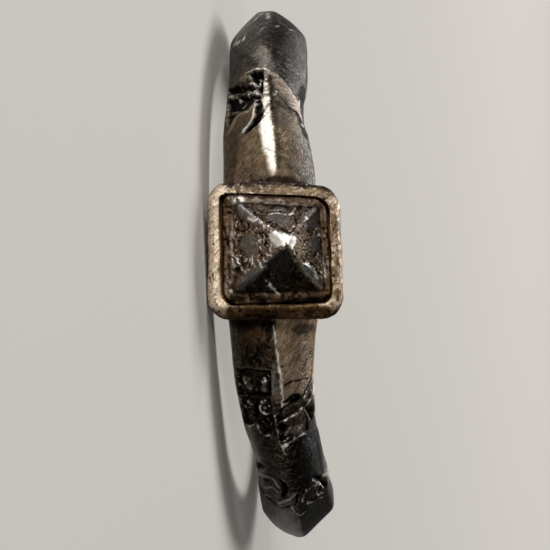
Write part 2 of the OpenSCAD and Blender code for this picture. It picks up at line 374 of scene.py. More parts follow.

# Engraving and wear on the front of the hoop, with painted highlights and painted shadows among them.
# Columns: kind, width in mm, depth in mm, lean or strength, and places as (degrees from the bezel, mm across
# the hoop).
# leaf is a cut that is pointed at both ends, tail one that is pointed at its last end, and
# even one with blunt ends. Their walls lean from -1 to 1, and a depth under zero makes them
# stand out. lip is a thin raised line that has worn bright, its crest painted bright as a
# painted highlight, and the higher its last number the fewer its breaks. bead is a raised dot,
# and sunk an area with corners that lies lower, with how bright or how dark it is. rubbed is a
# line that is polished, and in places a painted highlight, gold one that is polished and warm,
# and in places a painted golden glint, brushed one that is warm in short slanted streaks, and
# stain one that is dark, with how much: a stain, and in places a painted shadow.
strokes = [
    # under the bezel: the ridge's flat, dark with a bright edge that is a painted highlight, and a dark patch
    # beside it
    ("rubbed", 0.22, 0, 0.12, [(-23.6, -0.55), (-26.0, -0.56), (-28.6, -0.53), (-31.4, -0.48)]),
    # painted highlight along the edge of the ridge's flat
    ("rubbed", 0.05, 0, 0.8, [(-14.6, -0.41), (-17.5, -0.37), (-20.4, -0.35)]),
    ("rubbed", 0.10, 0, 1, [(-20.4, -0.35), (-22.4, -0.33), (-24.7, -0.29), (-26.4, -0.26)]),
    ("rubbed", 0.06, 0, 1, [(-26.4, -0.26), (-28.6, -0.26), (-30.4, -0.26), (-32.2, -0.29)]),
    ("brushed", 1.10, 0, 0.40, [(-15.4, 0.2), (-19.0, 0.4), (-24.0, 0.4), (-29.0, 0.3)]),
    ("brushed", 0.50, 0, 0.50, [(-20.0, 0.8), (-22.0, 0.3), (-25.0, 0.2), (-30.6, 0.2)]),
    # painted shadow just under the bezel
    ("stain", 0.4, 0, 0.9, [(-13.9, -2.1), (-14.0, -1.2), (-14.3, -0.45)]),
    ("lip", 0.10, 0.03, -0.1, [(-14.2, -0.44), (-17.5, -0.40), (-20.4, -0.38), (-22.7, -0.34)]),
    ("lip", 0.12, 0.04, 0.1, [(-21.6, -0.36), (-24.7, -0.31), (-27.4, -0.30), (-29.8, -0.28),
        (-32.2, -0.31), (-33.4, -0.32)]),
    ("sunk", 0.14, 0.01, 0.75, [(-16.0, 0.39), (-15.4, 0.65), (-16.2, 1.21), (-17.0, 1.26), (-17.8, 0.93),
        (-17.3, 0.56)]),
    # under the bezel, left: a sunk square with four lobes
    ("sunk", 0.12, 0.12, 0.7, [(-25.8, -2.13), (-24.9, -1.37), (-24.7, -0.74), (-30.0, -0.82),
        (-30.8, -1.14), (-31.6, -1.77), (-32.7, -2.16)]),
    ("even", 0.13, 0.14, 0, [(-26.7, -2.1), (-25.7, -2.0), (-24.8, -1.65), (-24.8, -1.2),
        (-24.9, -0.75)]),
    ("even", 0.13, 0.12, 0, [(-24.9, -0.75), (-26.9, -0.77), (-29.9, -0.83)]),
    ("leaf", 0.24, 0.15, 0, [(-33.1, -2.0), (-30.9, -1.55), (-30.4, -1.05), (-30.3, -0.75)]),
    ("bead", 0.46, 0.12, 0.16, [(-27.8, -1.85), (-27.2, -1.05), (-29.4, -1.75), (-28.9, -1.1)]),
    ("bead", 0.16, -0.12, 1, [(-28.0, -1.45), (-29.6, -1.42)]),
    ("bead", 0.18, 0.03, 1, [(-28.2, -1.91), (-28.5, -1.84), (-27.2, -1.09), (-26.9, -0.98)]),
    ("bead", 0.12, 0.02, 0.9, [(-29.5, -1.66), (-27.6, -1.95), (-26.4, -1.02)]),
    # below it: a hooked leaf, beads and a bright line
    ("sunk", 0.16, 0.09, 0.7, [(-31.6, -2.0), (-31.0, -0.85), (-38.3, -0.75), (-40.4, -1.0),
        (-38.6, -1.5), (-41.0, -2.0)]),
    ("leaf", 0.36, 0.20, 0.3, [(-32.6, -1.45), (-35.2, -1.55), (-38.6, -1.65)]),
    ("even", 0.14, 0.12, 0, [(-35.6, -2.1), (-38.0, -2.0), (-40.2, -1.9)]),
    ("leaf", 0.26, 0.12, 0.3, [(-35.8, -1.35), (-37.4, -1.2), (-38.6, -0.9)]),
    ("bead", 0.24, 0.10, 0.2, [(-33.5, -1.76), (-35.4, -1.95), (-33.6, -1.1)]),
    ("bead", 0.15, 0.04, 1, [(-31.8, -1.08), (-33.0, -0.92), (-33.3, -1.79), (-33.9, -1.7),
        (-34.9, -1.16)]),
    ("bead", 0.09, 0.04, 0.7, [(-37.7, -0.9), (-33.9, -2.1), (-35.1, -1.8), (-36.6, -1.0),
        (-32.5, -1.95)]),
    ("lip", 0.16, 0.09, 0, [(-31.8, -1.15), (-32.9, -1.30), (-34.4, -1.33), (-35.2, -1.20),
        (-35.0, -0.98), (-33.3, -0.86)]),
    ("lip", 0.13, 0.03, 1, [(-33.2, -1.32), (-34.4, -1.33), (-35.2, -1.20), (-35.2, -1.02)]),
    ("lip", 0.12, 0.06, 0, [(-41.5, -1.89), (-39.1, -1.59), (-39.2, -1.47), (-40.5, -1.36),
        (-40.9, -1.15), (-40.4, -0.89)]),
    # below the bezel, right: a wide curved gouge and the strips under it
    ("leaf", 0.06, 0.02, 0, [(-27.7, -0.12), (-27.7, 0.29), (-28.4, 0.67), (-29.1, 0.98)]),
    ("stain", 0.05, 0, 1, [(-27.7, -0.12), (-27.7, 0.29), (-28.4, 0.67), (-29.1, 0.98)]),
    ("stain", 0.05, 0, 0.9, [(-22.6, -0.44), (-23.1, -0.32), (-23.6, -0.2)]),
    ("stain", 0.05, 0, 0.9, [(-25.3, 0.75), (-23.6, 0.92), (-22.4, 1.1)]),
    ("sunk", 0.12, 0.10, 0.72, [(-29.6, 1.3), (-31.4, 1.02), (-32.7, 0.81), (-33.4, 0.63), (-32.9, 0.41),
        (-32.8, 0.03), (-33.3, -0.3), (-34.9, -0.64), (-36.8, -0.54), (-36.6, -0.28), (-36.2, 0.05),
        (-35.7, 0.38), (-35.5, 0.67), (-34.6, 0.9), (-32.6, 1.3)]),
    ("leaf", 0.30, 0.16, 0, [(-27.0, 1.5), (-30.2, 1.02), (-31.8, 0.78), (-33.0, 0.5), (-33.0, 0.1),
        (-33.6, -0.3), (-35.2, -0.66)]),
    ("sunk", 0.06, 0.12, 1, [(-31.9, -0.22), (-31.3, -0.02), (-30.8, 0.15), (-31.1, 0.37), (-32.5, 0.61),
        (-33.3, 0.57), (-32.4, 0.23), (-32.3, -0.03)]),
    ("bead", 0.12, 0.05, 0.8, [(-31.9, 0.66), (-33.6, 0.72), (-32.6, 0.82), (-31.2, 0.86)]),
    ("lip", 0.075, 0.05, 0.1, [(-36.9, -0.55), (-36.6, -0.28), (-36.2, 0.05), (-35.7, 0.38),
        (-35.5, 0.67)]),
    ("lip", 0.08, 0.05, 0, [(-34.9, -0.85), (-35.1, -0.66), (-34.2, -0.42), (-33.6, -0.3)]),
    ("gold", 0.09, 0, 0.7, [(-34.4, 1.10), (-35.8, 1.08), (-37.0, 1.02)]),
    ("gold", 0.14, 0, 0.12, [(-36.8, -0.1), (-36.4, 0.2), (-36.0, 0.5)]),
    ("sunk", 0.10, 0.06, 0.5, [(-37.4, -0.5), (-36.6, 0.1), (-36.0, 0.75), (-42.2, 0.7), (-42.2, -0.4)]),
    ("tail", 0.34, 0.18, 0.4, [(-36.6, 0.86), (-38.9, 0.92), (-42.2, 1.03), (-45.4, 1.10),
        (-49.6, 1.15)]),
    ("sunk", 0.06, 0.14, 1, [(-38.0, -0.56), (-37.7, -0.3), (-38.6, -0.02), (-39.5, -0.16),
        (-39.2, -0.46)]),
    ("gold", 0.26, 0, 0.26, [(-40.0, 0.16), (-40.0, 0.34), (-41.0, 0.42)]),
    ("gold", 0.10, 0, 0.35, [(-39.6, 0.3), (-40.2, 0.44)]),
    ("gold", 0.10, 0, 0.12, [(-39.2, -0.05), (-40.3, -0.2)]),
    ("leaf", 0.16, 0.12, 0, [(-41.6, -0.42), (-41.0, -0.1), (-40.8, 0.2)]),
    ("leaf", 0.14, 0.12, 0, [(-39.6, -0.55), (-42.0, -0.44)]),
    ("lip", 0.08, 0.06, -0.2, [(-35.1, -0.66), (-36.5, -0.62), (-38.3, -0.6), (-40.7, -0.59),
        (-42.7, -0.52), (-43.2, -0.4)]),
    ("lip", 0.08, 0.06, 0.1, [(-43.2, -0.4), (-42.5, -0.16), (-42.3, 0.16), (-42.3, 0.55),
        (-43.2, 0.62)]),
    ("rubbed", 0.08, 0, 0.9, [(-43.0, -0.46), (-43.3, -0.36), (-42.9, -0.26)]),
    # painted shade, where the facet would reflect the back light
    ("stain", 0.50, 0, 0.85, [(-36.4, 1.20), (-40.0, 1.06), (-45.0, 1.08), (-50.0, 1.15), (-55.0, 1.22)]),
    ("lip", 0.06, 0.02, -0.4, [(-43.2, 0.62), (-44.6, 0.7), (-47.0, 0.84), (-49.0, 1.0)]),
    ("lip", 0.08, 0.04, -0.2, [(-43.3, -0.45), (-45.0, -0.35), (-45.8, -0.26)]),
    # lower down, left: leaves with light rims
    ("leaf", 0.34, 0.16, 0, [(-57.6, -1.7), (-54.0, -1.48), (-52.0, -1.3)]),
    ("even", 0.22, -0.07, 0, [(-58.2, -1.55), (-55.0, -1.2), (-54.6, -0.95), (-57.0, -0.75)]),
    ("even", 0.20, -0.06, 0, [(-61.5, -1.35), (-58.4, -1.05), (-59.4, -0.82)]),
    ("leaf", 0.12, 0.12, 0, [(-58.8, -1.42), (-56.4, -1.1)]),
    ("leaf", 0.42, 0.22, 0, [(-53.8, -0.8), (-55.4, -0.55), (-57.5, -0.5), (-61.2, -0.66)]),
    ("leaf", 0.24, 0.18, 0, [(-64.5, -1.75), (-66.0, -1.45), (-65.8, -1.1), (-67.2, -0.9)]),
    ("bead", 0.22, 0.06, 0.5, [(-64.0, -1.26)]),
    ("even", 0.22, -0.06, 0, [(-64.5, -0.88), (-62.4, -0.6), (-60.2, -0.3), (-58.4, -0.02)]),
    ("leaf", 0.12, 0.10, 0, [(-66.5, -0.75), (-64.2, -0.4), (-62.5, -0.15)]),
    # lower down, right: an arch with a grey floor and a curved rim under it
    ("leaf", 0.22, 0.15, 0, [(-56.8, 0.75), (-59.6, 0.98), (-62.9, 1.16)]),
    ("leaf", 0.24, 0.20, 0, [(-62.4, 1.1), (-66.0, 1.26), (-67.0, 1.15), (-65.6, 0.92)]),
    ("even", 0.16, -0.06, 0, [(-61.3, 1.17), (-63.0, 1.31), (-68.0, 1.42)]),
    ("sunk", 0.10, 0.07, 0.5, [(-60.5, 0.32), (-59.8, 0.69), (-64.4, 1.1), (-66.4, 1.0), (-66.6, 0.7),
        (-63.6, 0.3)]),
    ("lip", 0.09, 0.06, 0, [(-63.2, 0.2), (-61.4, 0.27), (-60.2, 0.4), (-59.7, 0.62), (-61.0, 0.9),
        (-64.0, 1.12)]),
    ("bead", 0.14, 0.06, 0.7, [(-59.2, 0.42)]),
    ("leaf", 0.10, 0.10, 0, [(-58.4, 0.2), (-59.2, 0.34)]),
    ("leaf", 0.20, 0.20, 0, [(-58.4, 0.05), (-60.7, 0.05), (-63.2, -0.08)]),
    ("leaf", 0.18, 0.10, 0, [(-63.5, -0.06), (-64.2, 0.2), (-65.4, 0.55), (-67.4, 0.8)]),
    ("lip", 0.10, 0.06, 0, [(-62.6, -0.36), (-64.4, -0.22), (-66.5, -0.1), (-68.0, 0.05), (-67.8, 0.3),
        (-67.6, 0.55), (-68.4, 0.82)]),
    ("lip", 0.08, 0.04, 0, [(-67.0, 0.85), (-70.0, 1.1)]),
    # above the bezel, left: black hollows between lines that run up to the ridge
    ("sunk", 0.30, 0.08, 0.68, [(46.6, -1.7), (46.4, -0.3), (38.0, -0.25), (35.2, -0.9), (38.0, -1.75)]),
    ("sunk", 0.12, 0.16, 0.95, [(46.8, -0.75), (46.3, -0.39), (45.3, -0.16), (41.8, -0.2), (38.2, -0.3),
        (40.2, -0.44), (43.5, -0.5), (45.1, -0.68)]),
    ("sunk", 0.12, 0.16, 1, [(48.4, -1.7), (45.6, -1.29), (43.1, -0.86), (41.3, -0.5), (40.9, -0.74),
        (43.0, -1.24), (46.6, -1.7)]),
    ("sunk", 0.12, 0.16, 0.95, [(44.2, -1.78), (41.1, -1.19), (39.8, -0.9), (38.9, -0.44), (35.6, -0.34),
        (36.5, -0.5), (37.4, -0.78), (36.2, -1.15), (38.4, -1.76)]),
    ("sunk", 0.06, 0.14, 1, [(28.9, -1.2), (30.9, -0.92), (31.7, -0.77), (33.0, -0.55), (33.4, -0.25),
        (31.4, -0.3), (30.2, -0.6), (29.0, -1.04)]),
    ("sunk", 0.10, 0.12, 0.9, [(35.2, -0.56), (33.6, -0.6), (32.6, -0.42), (33.4, -0.3), (35.6, -0.3)]),
    ("sunk", 0.10, 0.10, 0.8, [(38.1, -1.83), (34.0, -1.8), (35.3, -1.66), (36.1, -1.5)]),
    ("lip", 0.09, 0.05, 1, [(47.9, -1.0), (47.5, -0.75), (47.3, -0.51), (46.5, -0.2), (45.8, -0.02)]),
    ("lip", 0.15, 0.02, 1, [(47.2, -0.46), (46.5, -0.2), (45.8, 0.0), (45.3, 0.16)]),
    ("gold", 0.16, 0, 0.3, [(47.5, -1.16), (46.8, -0.94), (46.0, -0.78)]),
    ("lip", 0.08, 0.05, 1, [(44.0, -0.79), (43.2, -0.65), (41.9, -0.58), (42.4, -0.48), (43.3, -0.44)]),
    ("lip", 0.14, 0.06, 0, [(39.7, -0.62), (39.3, -0.42), (40.4, -0.24), (41.8, -0.12)]),
    ("gold", 0.16, 0, 1, [(40.3, -0.6), (39.6, -0.44), (40.2, -0.3), (41.4, -0.16)]),
    ("rubbed", 0.07, 0, 1, [(44.0, -0.79), (43.2, -0.65), (42.1, -0.58), (42.5, -0.48), (43.3, -0.44)]),
    ("gold", 0.06, 0, 1, [(41.6, -0.34), (42.2, -0.28)]),
    ("gold", 0.07, 0, 1, [(38.8, -0.7), (39.4, -0.78)]),
    ("gold", 0.06, 0, 0.9, [(44.8, -0.42), (44.2, -0.36), (43.6, -0.28)]),
    ("gold", 0.06, 0, 0.8, [(43.4, -1.1), (42.6, -0.98), (42.0, -0.86)]),
    ("gold", 0.07, 0, 0.35, [(38.4, -1.3), (38.8, -1.1)]),
    ("gold", 0.07, 0, 0.9, [(40.2, -0.95), (40.4, -0.76)]),
    ("gold", 0.08, 0, 0.8, [(38.2, -0.42), (37.6, -0.32)]),
    ("bead", 0.13, 0.07, 1, [(40.3, -0.91), (40.4, -0.77), (41.8, -1.42), (38.6, -0.36)]),
    ("gold", 0.07, 0, 0.9, [(46.4, -1.72), (45.2, -1.69), (44.3, -1.63)]),
    ("gold", 0.07, 0, 0.9, [(42.9, -1.5), (41.8, -1.42), (41.0, -1.36)]),
    ("lip", 0.08, 0.04, 0, [(46.4, -1.72), (44.3, -1.63), (42.6, -1.47), (40.8, -1.37), (41.0, -1.2)]),
    ("lip", 0.08, 0.05, 0.8, [(37.5, -1.54), (36.6, -1.15), (37.0, -0.93), (38.1, -0.73), (38.4, -0.52)]),
    ("even", 0.20, -0.05, 0, [(32.1, -1.87), (32.6, -1.70), (34.3, -1.52), (34.9, -1.33), (34.8, -0.98),
        (35.6, -0.76), (36.6, -0.5)]),
    ("gold", 0.18, 0, 0.12, [(32.1, -1.87), (32.6, -1.70), (34.3, -1.52), (34.9, -1.33), (34.8, -0.98),
        (35.6, -0.76)]),
    ("gold", 0.09, 0, 0.6, [(35.4, -0.76), (36.2, -0.6), (36.8, -0.46)]),
    ("lip", 0.06, 0.03, 1, [(29.3, -1.3), (30.5, -1.05), (31.5, -0.85), (32.7, -0.73), (35.0, -0.65),
        (35.8, -0.50), (36.2, -0.34)]),
    ("rubbed", 0.05, 0, 1, [(29.3, -1.3), (30.5, -1.05), (31.5, -0.85), (32.7, -0.74), (34.6, -0.68)]),
    ("rubbed", 0.05, 0, 1, [(37.3, -1.44), (36.6, -1.15), (37.0, -0.93), (38.1, -0.73)]),
    # above the bezel, right: a broad light gouge across the facet, and a bite out of its edge
    ("brushed", 0.34, 0, 0.45, [(43.8, 0.16), (42.4, 0.4), (40.8, 0.68), (39.0, 0.94), (37.8, 1.14)]),
    ("gold", 0.15, 0, 0.40, [(44.9, 0.1), (44.6, 0.39), (43.0, 0.71), (41.3, 0.98), (40.0, 1.18),
        (38.4, 1.28), (35.6, 1.32)]),
    ("brushed", 0.24, 0, 0.75, [(44.9, 0.1), (44.2, 0.36), (42.6, 0.68), (41.0, 0.95), (39.8, 1.12),
        (38.4, 1.22), (36.6, 1.26)]),
    ("lip", 0.12, 0.05, -0.1, [(45.0, 0.07), (44.9, 0.39), (43.2, 0.73), (41.5, 1.0), (40.2, 1.22),
        (38.6, 1.32), (35.6, 1.36)]),
    ("leaf", 0.12, 0.09, 0, [(39.2, 0.22), (38.8, 0.4), (38.0, 0.57), (37.1, 0.73), (36.3, 0.88)]),
    ("leaf", 0.10, 0.08, 0, [(37.0, 0.7), (36.1, 0.84), (35.9, 1.13), (36.1, 1.3)]),
    ("bead", 0.13, 0.06, 1, [(38.4, 0.26), (39.3, 0.35)]),
    ("gold", 0.08, 0, 0.9, [(38.2, 0.22), (39.2, 0.36)]),
    ("stain", 0.14, 0, 0.85, [(44.0, 0.12), (41.0, 0.16), (37.6, 0.16), (33.5, 0.16)]),
    ("stain", 0.20, 0, 0.5, [(42.4, 0.16), (37.6, 0.24), (33.5, 0.24), (30.4, 0.26), (26.6, 0.28),
        (22.6, 0.3), (19.6, 0.28)]),
    ("stain", 0.16, 0, 0.5, [(37.0, 0.3), (35.4, 0.48), (35.4, 0.72), (34.8, 0.95)]),
    # painted shadow along the bezel's upper edge
    ("stain", 0.30, 0, 0.85, [(14.0, -1.6), (14.6, -1.1), (15.8, -0.7), (16.3, -0.1), (16.4, 0.4),
        (16.2, 0.9), (15.6, 1.3), (15.8, 1.75)]),
    ("stain", 0.14, 0, 0.7, [(18.2, -0.98), (17.0, -0.92)]),
    ("gold", 0.10, 0, 0.25, [(17.6, -0.06), (18.0, 0.1)]),
    ("brushed", 0.60, 0, 0.22, [(17.4, -1.4), (20.0, -1.3), (26.0, -1.1)]),
    ("gold", 0.06, 0, 0.5, [(17.6, -1.42), (18.4, -1.42)]),
    ("gold", 0.05, 0, 0.4, [(19.4, -1.66), (20.2, -1.6)]),
    ("stain", 0.10, 0, 0.9, [(48.6, 1.62), (46.6, 1.5), (44.6, 1.4), (41.3, 1.34)]),
    ("stain", 0.24, 0, 0.95, [(35.6, 1.20), (34.0, 1.30), (32.0, 1.40), (30.4, 1.50)]),
    ("gold", 0.06, 0, 0.9, [(37.2, 1.42), (36.4, 1.4)]),
    ("gold", 0.05, 0, 0.9, [(35.2, 1.4), (34.8, 1.42)]),
    ("gold", 0.06, 0, 0.9, [(33.4, 1.36), (33.0, 1.4)]),
    ("gold", 0.07, 0, 0.6, [(41.4, 1.38), (39.4, 1.34)]),
    ("leaf", 0.10, 0.06, 0, [(23.9, -0.36), (23.5, -0.14), (22.6, 0.05)]),
    # nicks and spots of wear towards the top
    ("rubbed", 0.60, 0, 0.24, [(47.8, 0.02), (50.0, -0.04), (53.0, -0.16)]),
    ("leaf", 0.04, 0.03, 0, [(49.4, 1.0), (51.6, 1.46)]),
    ("leaf", 0.04, 0.03, 0, [(46.6, 1.1), (49.4, 1.45)]),
    ("bead", 0.38, 0.02, 1, [(64.4, -1.18), (66.6, -1.32)]),
    ("rubbed", 0.11, 0, 1, [(63.2, -0.96), (64.3, -0.92)]),
    ("lip", 0.06, 0.03, -0.1, [(64.7, -0.93), (66.2, -0.79)]),
    ("lip", 0.10, 0.04, 0.7, [(71.8, -0.50), (72.4, -0.34), (74.4, -0.18), (77.4, -0.03)]),
    ("gold", 0.09, 0, 0.25, [(71.9, -0.95), (71.9, -0.72), (71.6, -0.46)]),
    ("lip", 0.07, 0.03, -0.2, [(67.2, -0.60), (66.3, -0.43), (67.4, -0.25)]),
    ("lip", 0.08, 0.03, -0.1, [(63.9, -0.40), (64.1, -0.12), (65.3, 0.10)]),
    ("lip", 0.07, 0.03, -0.2, [(62.0, -0.45), (62.4, -0.30), (63.2, -0.12)]),
    ("rubbed", 0.12, 0, 0.7, [(76.4, 0.17), (73.6, 0.20), (71.2, 0.20)]),
    ("gold", 0.08, 0, 0.4, [(74.2, 0.42), (74.2, 0.58), (74.9, 0.73)]),
    ("gold", 0.08, 0, 0.4, [(71.2, 0.52), (71.3, 0.72)]),
    ("rubbed", 0.08, 0, 0.8, [(66.3, 0.50), (66.9, 0.64)]),
    ("rubbed", 0.16, 0, 0.22, [(70.2, 0.72), (69.6, 0.95)]),
    ("lip", 0.07, 0.03, 0, [(67.8, 1.02), (69.2, 1.18), (71.6, 1.30)]),
    ("stain", 0.14, 0, 0.6, [(69.9, 1.42), (71.4, 1.55), (71.8, 1.73)]),
]

# The bright worn band along the ridge above the bezel. Columns: degrees, then its left
# and right edge in mm across the hoop.
wornBand = [
    [16.8, -0.06, 0.10],
    [18.4, -0.13, 0.12],
    [20.4, -0.20, 0.14],
    [22.6, -0.30, 0.16],
    [24.4, -0.42, 0.15],
    [26.8, -0.49, 0.13],
    [29.4, -0.49, 0.12],
    [31.4, -0.43, 0.09],
    [34.0, -0.37, 0.05],
    [37.2, -0.27, 0.06],
    [40.5, -0.18, 0.03],
    [45.6, -0.11, -0.02],
]

# The notch worn out of the hoop's right edge. Columns: degrees, and where the edge is left,
# in mm across the hoop.
notch = [
    [51.6, 1.75],
    [49.4, 1.60],
    [47.4, 1.50],
    [45.6, 1.40],
    [42.0, 1.33],
    [38.0, 1.33],
    [35.0, 1.38],
    [33.0, 1.50],
    [31.4, 1.70],
]

# How black the tarnish lies, from 0 to 1, with painted shade and light in it: darker at the
# lower end and on the left facet below the bezel as painted shade, and lighter on the right
# facet just below the bezel as painted light, down to values under zero. Columns: degrees,
# on the left facet, and on the right one, both as seen from the front.
tarnishAndPaintedLightTable = [
    [-180, 0.70, 0.65],
    [-90, 0.95, 0.95],
    [-70, 1.15, 1.10],
    [-50, 1.25, 1.10],
    [-42, 1.05, 1.05],
    [-34, 0.90, 0.50],
    [-28, 0.85, -0.12],
    [-16, 0.75, -0.18],
    [0, 0.45, 0.30],
    [16, 0.27, 0.50],
    [34, 0.30, 0.56],
    [46, 0.74, 1.02],
    [62, 1.06, 1.32],
    [90, 0.85, 1.00],
    [140, 0.70, 0.65],
    [180, 0.70, 0.65],
]


# A smooth curve through one column of the hoop's table
def alongHoop(degrees, column):
    table = np.array(hoopTable, float)
    rows = np.vstack([table[-2:], table, table[:2]])
    rows[:2, 0] -= 360
    rows[-2:, 0] += 360
    slopes = (rows[2:, column] - rows[:-2, column]) / (rows[2:, 0] - rows[:-2, 0])
    rows = rows[1:-1]
    i = np.clip(np.searchsorted(rows[:, 0], degrees, side="right") - 1, 0, len(rows) - 2)
    step = rows[i + 1, 0] - rows[i, 0]
    s = (degrees - rows[i, 0]) / step
    return ((2 * s ** 3 - 3 * s ** 2 + 1) * rows[i, column] + (s ** 3 - 2 * s ** 2 + s) * step * slopes[i]
            + (3 * s ** 2 - 2 * s ** 3) * rows[i + 1, column] + (s ** 3 - s ** 2) * step * slopes[i + 1])


def stationDegrees():
    parts = []
    for low, high, step in hoopSteps:
        parts.append(np.linspace(low, high, round((high - low) / step), endpoint=False))
    return np.concatenate(parts)


# The hoop's section at each station, as radius and sideways place. It runs up one side,
# over both facets, down the other side and back through the finger hole.
def hoopSections(degrees):
    half = alongHoop(degrees, widthColumn) / 2
    middle = alongHoop(degrees, shiftColumn)
    top = middle + alongHoop(degrees, ridgeColumn)
    flat = alongHoop(degrees, flatColumn) / 2
    low, high = middle - half, middle + half
    hole, bevel, inner = hoop["holeR"], hoop["bevel"], hoop["innerRound"]
    edge = hoop["edgeR"] + alongHoop(degrees, edgeColumn)
    ridge = hoop["ridgeR"] + hoop["crown"] * between(degrees, *hoop["crownSpan"])
    flatter = easeIn(degrees, *hoop["flatSpan"])
    lowSwell = hoop["swell"] * (1 - hoop["leftFlat"] * flatter)
    highSwell = hoop["swell"] * (1 - hoop["rightFlat"] * flatter - easeIn(-degrees, *hoop["tipSpan"]))

    def at(radius, place):
        return np.stack([radius + 0 * place, place], -1)

    # one side from the finger hole up to the ridge
    def side(rim, ridgeSide, inwards):
        return [at(hole, rim + inwards * inner), at(hole + inner, rim), at(edge - bevel, rim),
                at(edge + bevel / 2, rim + inwards * bevel),
                at(ridge - bevel / 2, ridgeSide - inwards * bevel), at(ridge, ridgeSide)]

    def stretch(start, end, count, through):
        t = (np.arange(count) / count)[None, :, None]
        start, end = start[:, None], end[:, None]
        if through is None:
            return start * (1 - t) + end * t
        pull = 2 * through[:, None] - (start + end) / 2
        return start * (1 - t) ** 2 + 2 * t * (1 - t) * pull + end * t ** 2

    corners = side(low, top - flat, 1) + side(high, top + flat, -1)[::-1]
    middleR = (edge + ridge) / 2
    facets = {    # the two stretches that swell, and what they pass through
        3: at(middleR + lowSwell, (low + top - flat) / 2 - lowSwell),
        7: at(middleR + highSwell, (high + top + flat) / 2 + highSwell),
    }
    stretches = zip(corners, corners[1:] + corners[:1], hoop["sectionPoints"])
    parts = [stretch(a, b, count, facets.get(i)) for i, (a, b, count) in enumerate(stretches)]
    sections = rounded(np.concatenate(parts, axis=1), hoop["cornerPasses"])
    rounder = rounded(sections, hoop["ridgePasses"])
    above = [hoop["edgeR"] + height for height in hoop["roundAbove"]]
    share = between(degrees, *hoop["roundSpan"])[:, None, None] * easeIn(sections[..., :1], *above)
    return sections + (rounder - sections) * share


# Height above the plain hoop, and how bright, dark or golden each place is
def workHoop(degrees, place):
    height, bright, dark, gold = (np.zeros(place.shape) for _ in range(4))
    angle = np.repeat(degrees[:, None], place.shape[1], 1)
    toU = math.radians(1) * hoop["meanR"]
    toV = hoop["facetStretch"]
    for kind, width, depth, lean, places in strokes:
        places = np.array(places, float)
        margin = (width + 0.15) / toU
        rows = (degrees > places[:, 0].min() - margin) & (degrees < places[:, 0].max() + margin)
        u = angle[rows] * toU
        v = place[rows] * toV
        spots = flatPoints(u, v)
        drawn = places * [toU, toV]
        ragged = uneven(spots, hoop["raggedEdges"])
        if kind == "sunk":
            inside = insideArea(u, v, drawn) + ragged + 0.03
            height[rows] -= depth * hoop["engraving"] * easeIn(inside, -width / 2, width / 2)
            dark[rows] = np.maximum(dark[rows], lean * easeIn(inside, -width * 0.6, width * 0.1))
            continue
        if kind == "bead":
            for centre in drawn:
                share = np.clip(1 - np.hypot(u - centre[0], v - centre[1]) / (width / 2), 0, 1)
                height[rows] += depth * np.sqrt(share * (2 - share))
                if depth > 0:
                    shown = easeIn(share, 0.1, 0.7)
                    bright[rows] = np.maximum(bright[rows], lean * shown)
                    dark[rows] *= 1 - 0.8 * shown
                else:
                    dark[rows] = np.maximum(dark[rows], lean * easeIn(share, 0, 0.5))
            continue
        distance, side, along = nearLine(u, v, drawnLine(drawn))
        if kind == "brushed":
            slanted = flatPoints(0.5 * u + 0.87 * v, 4 * (0.87 * u - 0.5 * v))    # at 60 degrees, and long
            streaks = 0.15 + 0.85 * easeIn(uneven(slanted, hoop["streaks"]), -0.3, 1.0)
            share = easeIn(-distance, -width, -width * 0.3) * streaks
            bright[rows] = np.maximum(bright[rows], lean * share)
            gold[rows] = np.maximum(gold[rows], 0.6 * share)
        elif kind in ("rubbed", "gold", "stain"):
            crumbled = 1.6 * ragged + width * uneven(spots, hoop["crumbs"])
            share = easeIn(crumbled - distance, -width, -width * 0.3)
            # a stain, and in places a painted shadow
            if kind == "stain":
                dark[rows] = np.maximum(dark[rows], lean * share)
                continue
            share = share * (0.5 + 0.5 * easeIn(uneven(spots, hoop["patchy"]), -0.5, 0.4))
            bright[rows] = np.maximum(bright[rows], lean * share)
            if kind == "rubbed":
                dark[rows] *= 1 - 0.9 * lean * share
            # gold: polished and warm, and in places a painted golden glint
            else:
                gold[rows] = np.maximum(gold[rows], share * (0.32 - 0.1 * lean))
                dark[rows] *= 1 - 0.85 * share
        elif kind == "lip":
            ends = np.clip(2 * np.sqrt(np.sin(np.pi * along)), 0, 1)
            broken = 0.15 + 0.85 * easeIn(uneven(spots, hoop["brokenLips"], lean), -0.7, 0.5)
            share = hump(distance + ragged * 0.4, 0, width * 0.4) * ends * broken
            crest = share ** 1.8    # only the crest is bright: worn metal with a painted highlight
            height[rows] += 0.6 * depth * share
            bright[rows] = np.maximum(bright[rows], crest)
            dark[rows] *= 1 - crest
        else:
            ends = {"leaf": np.sqrt(np.sin(np.pi * along)), "tail": np.sqrt(1 - along),
                    "even": 1 + 0 * along}[kind]
            across = (distance + ragged * 0.5) * side / np.maximum(width / 2 * ends, 1e-4)
            deepest = lean * 0.8
            wall = np.where(across < deepest, (across + 1) / (deepest + 1), (1 - across) / (1 - deepest))
            share = np.clip(wall, 0, 1) ** 0.8 * np.sqrt(ends)
            if depth > 0:
                height[rows] -= depth * hoop["engraving"] * share
                shaded = (across - deepest) * lean <= 0 if lean else np.zeros(across.shape, bool)
                steep = share * np.where(shaded, 0.55, 1)    # the flatter wall holds less dirt
                dark[rows] = np.maximum(dark[rows], easeIn(steep, 0.12, 0.5) * min(1, depth / 0.12))
            else:
                height[rows] -= depth * share
                bright[rows] = np.maximum(bright[rows], 0.3 * easeIn(share, 0.4, 0.9))
                dark[rows] *= 1 - 0.8 * easeIn(share, 0.2, 0.7)
    return height, bright, dark, gold


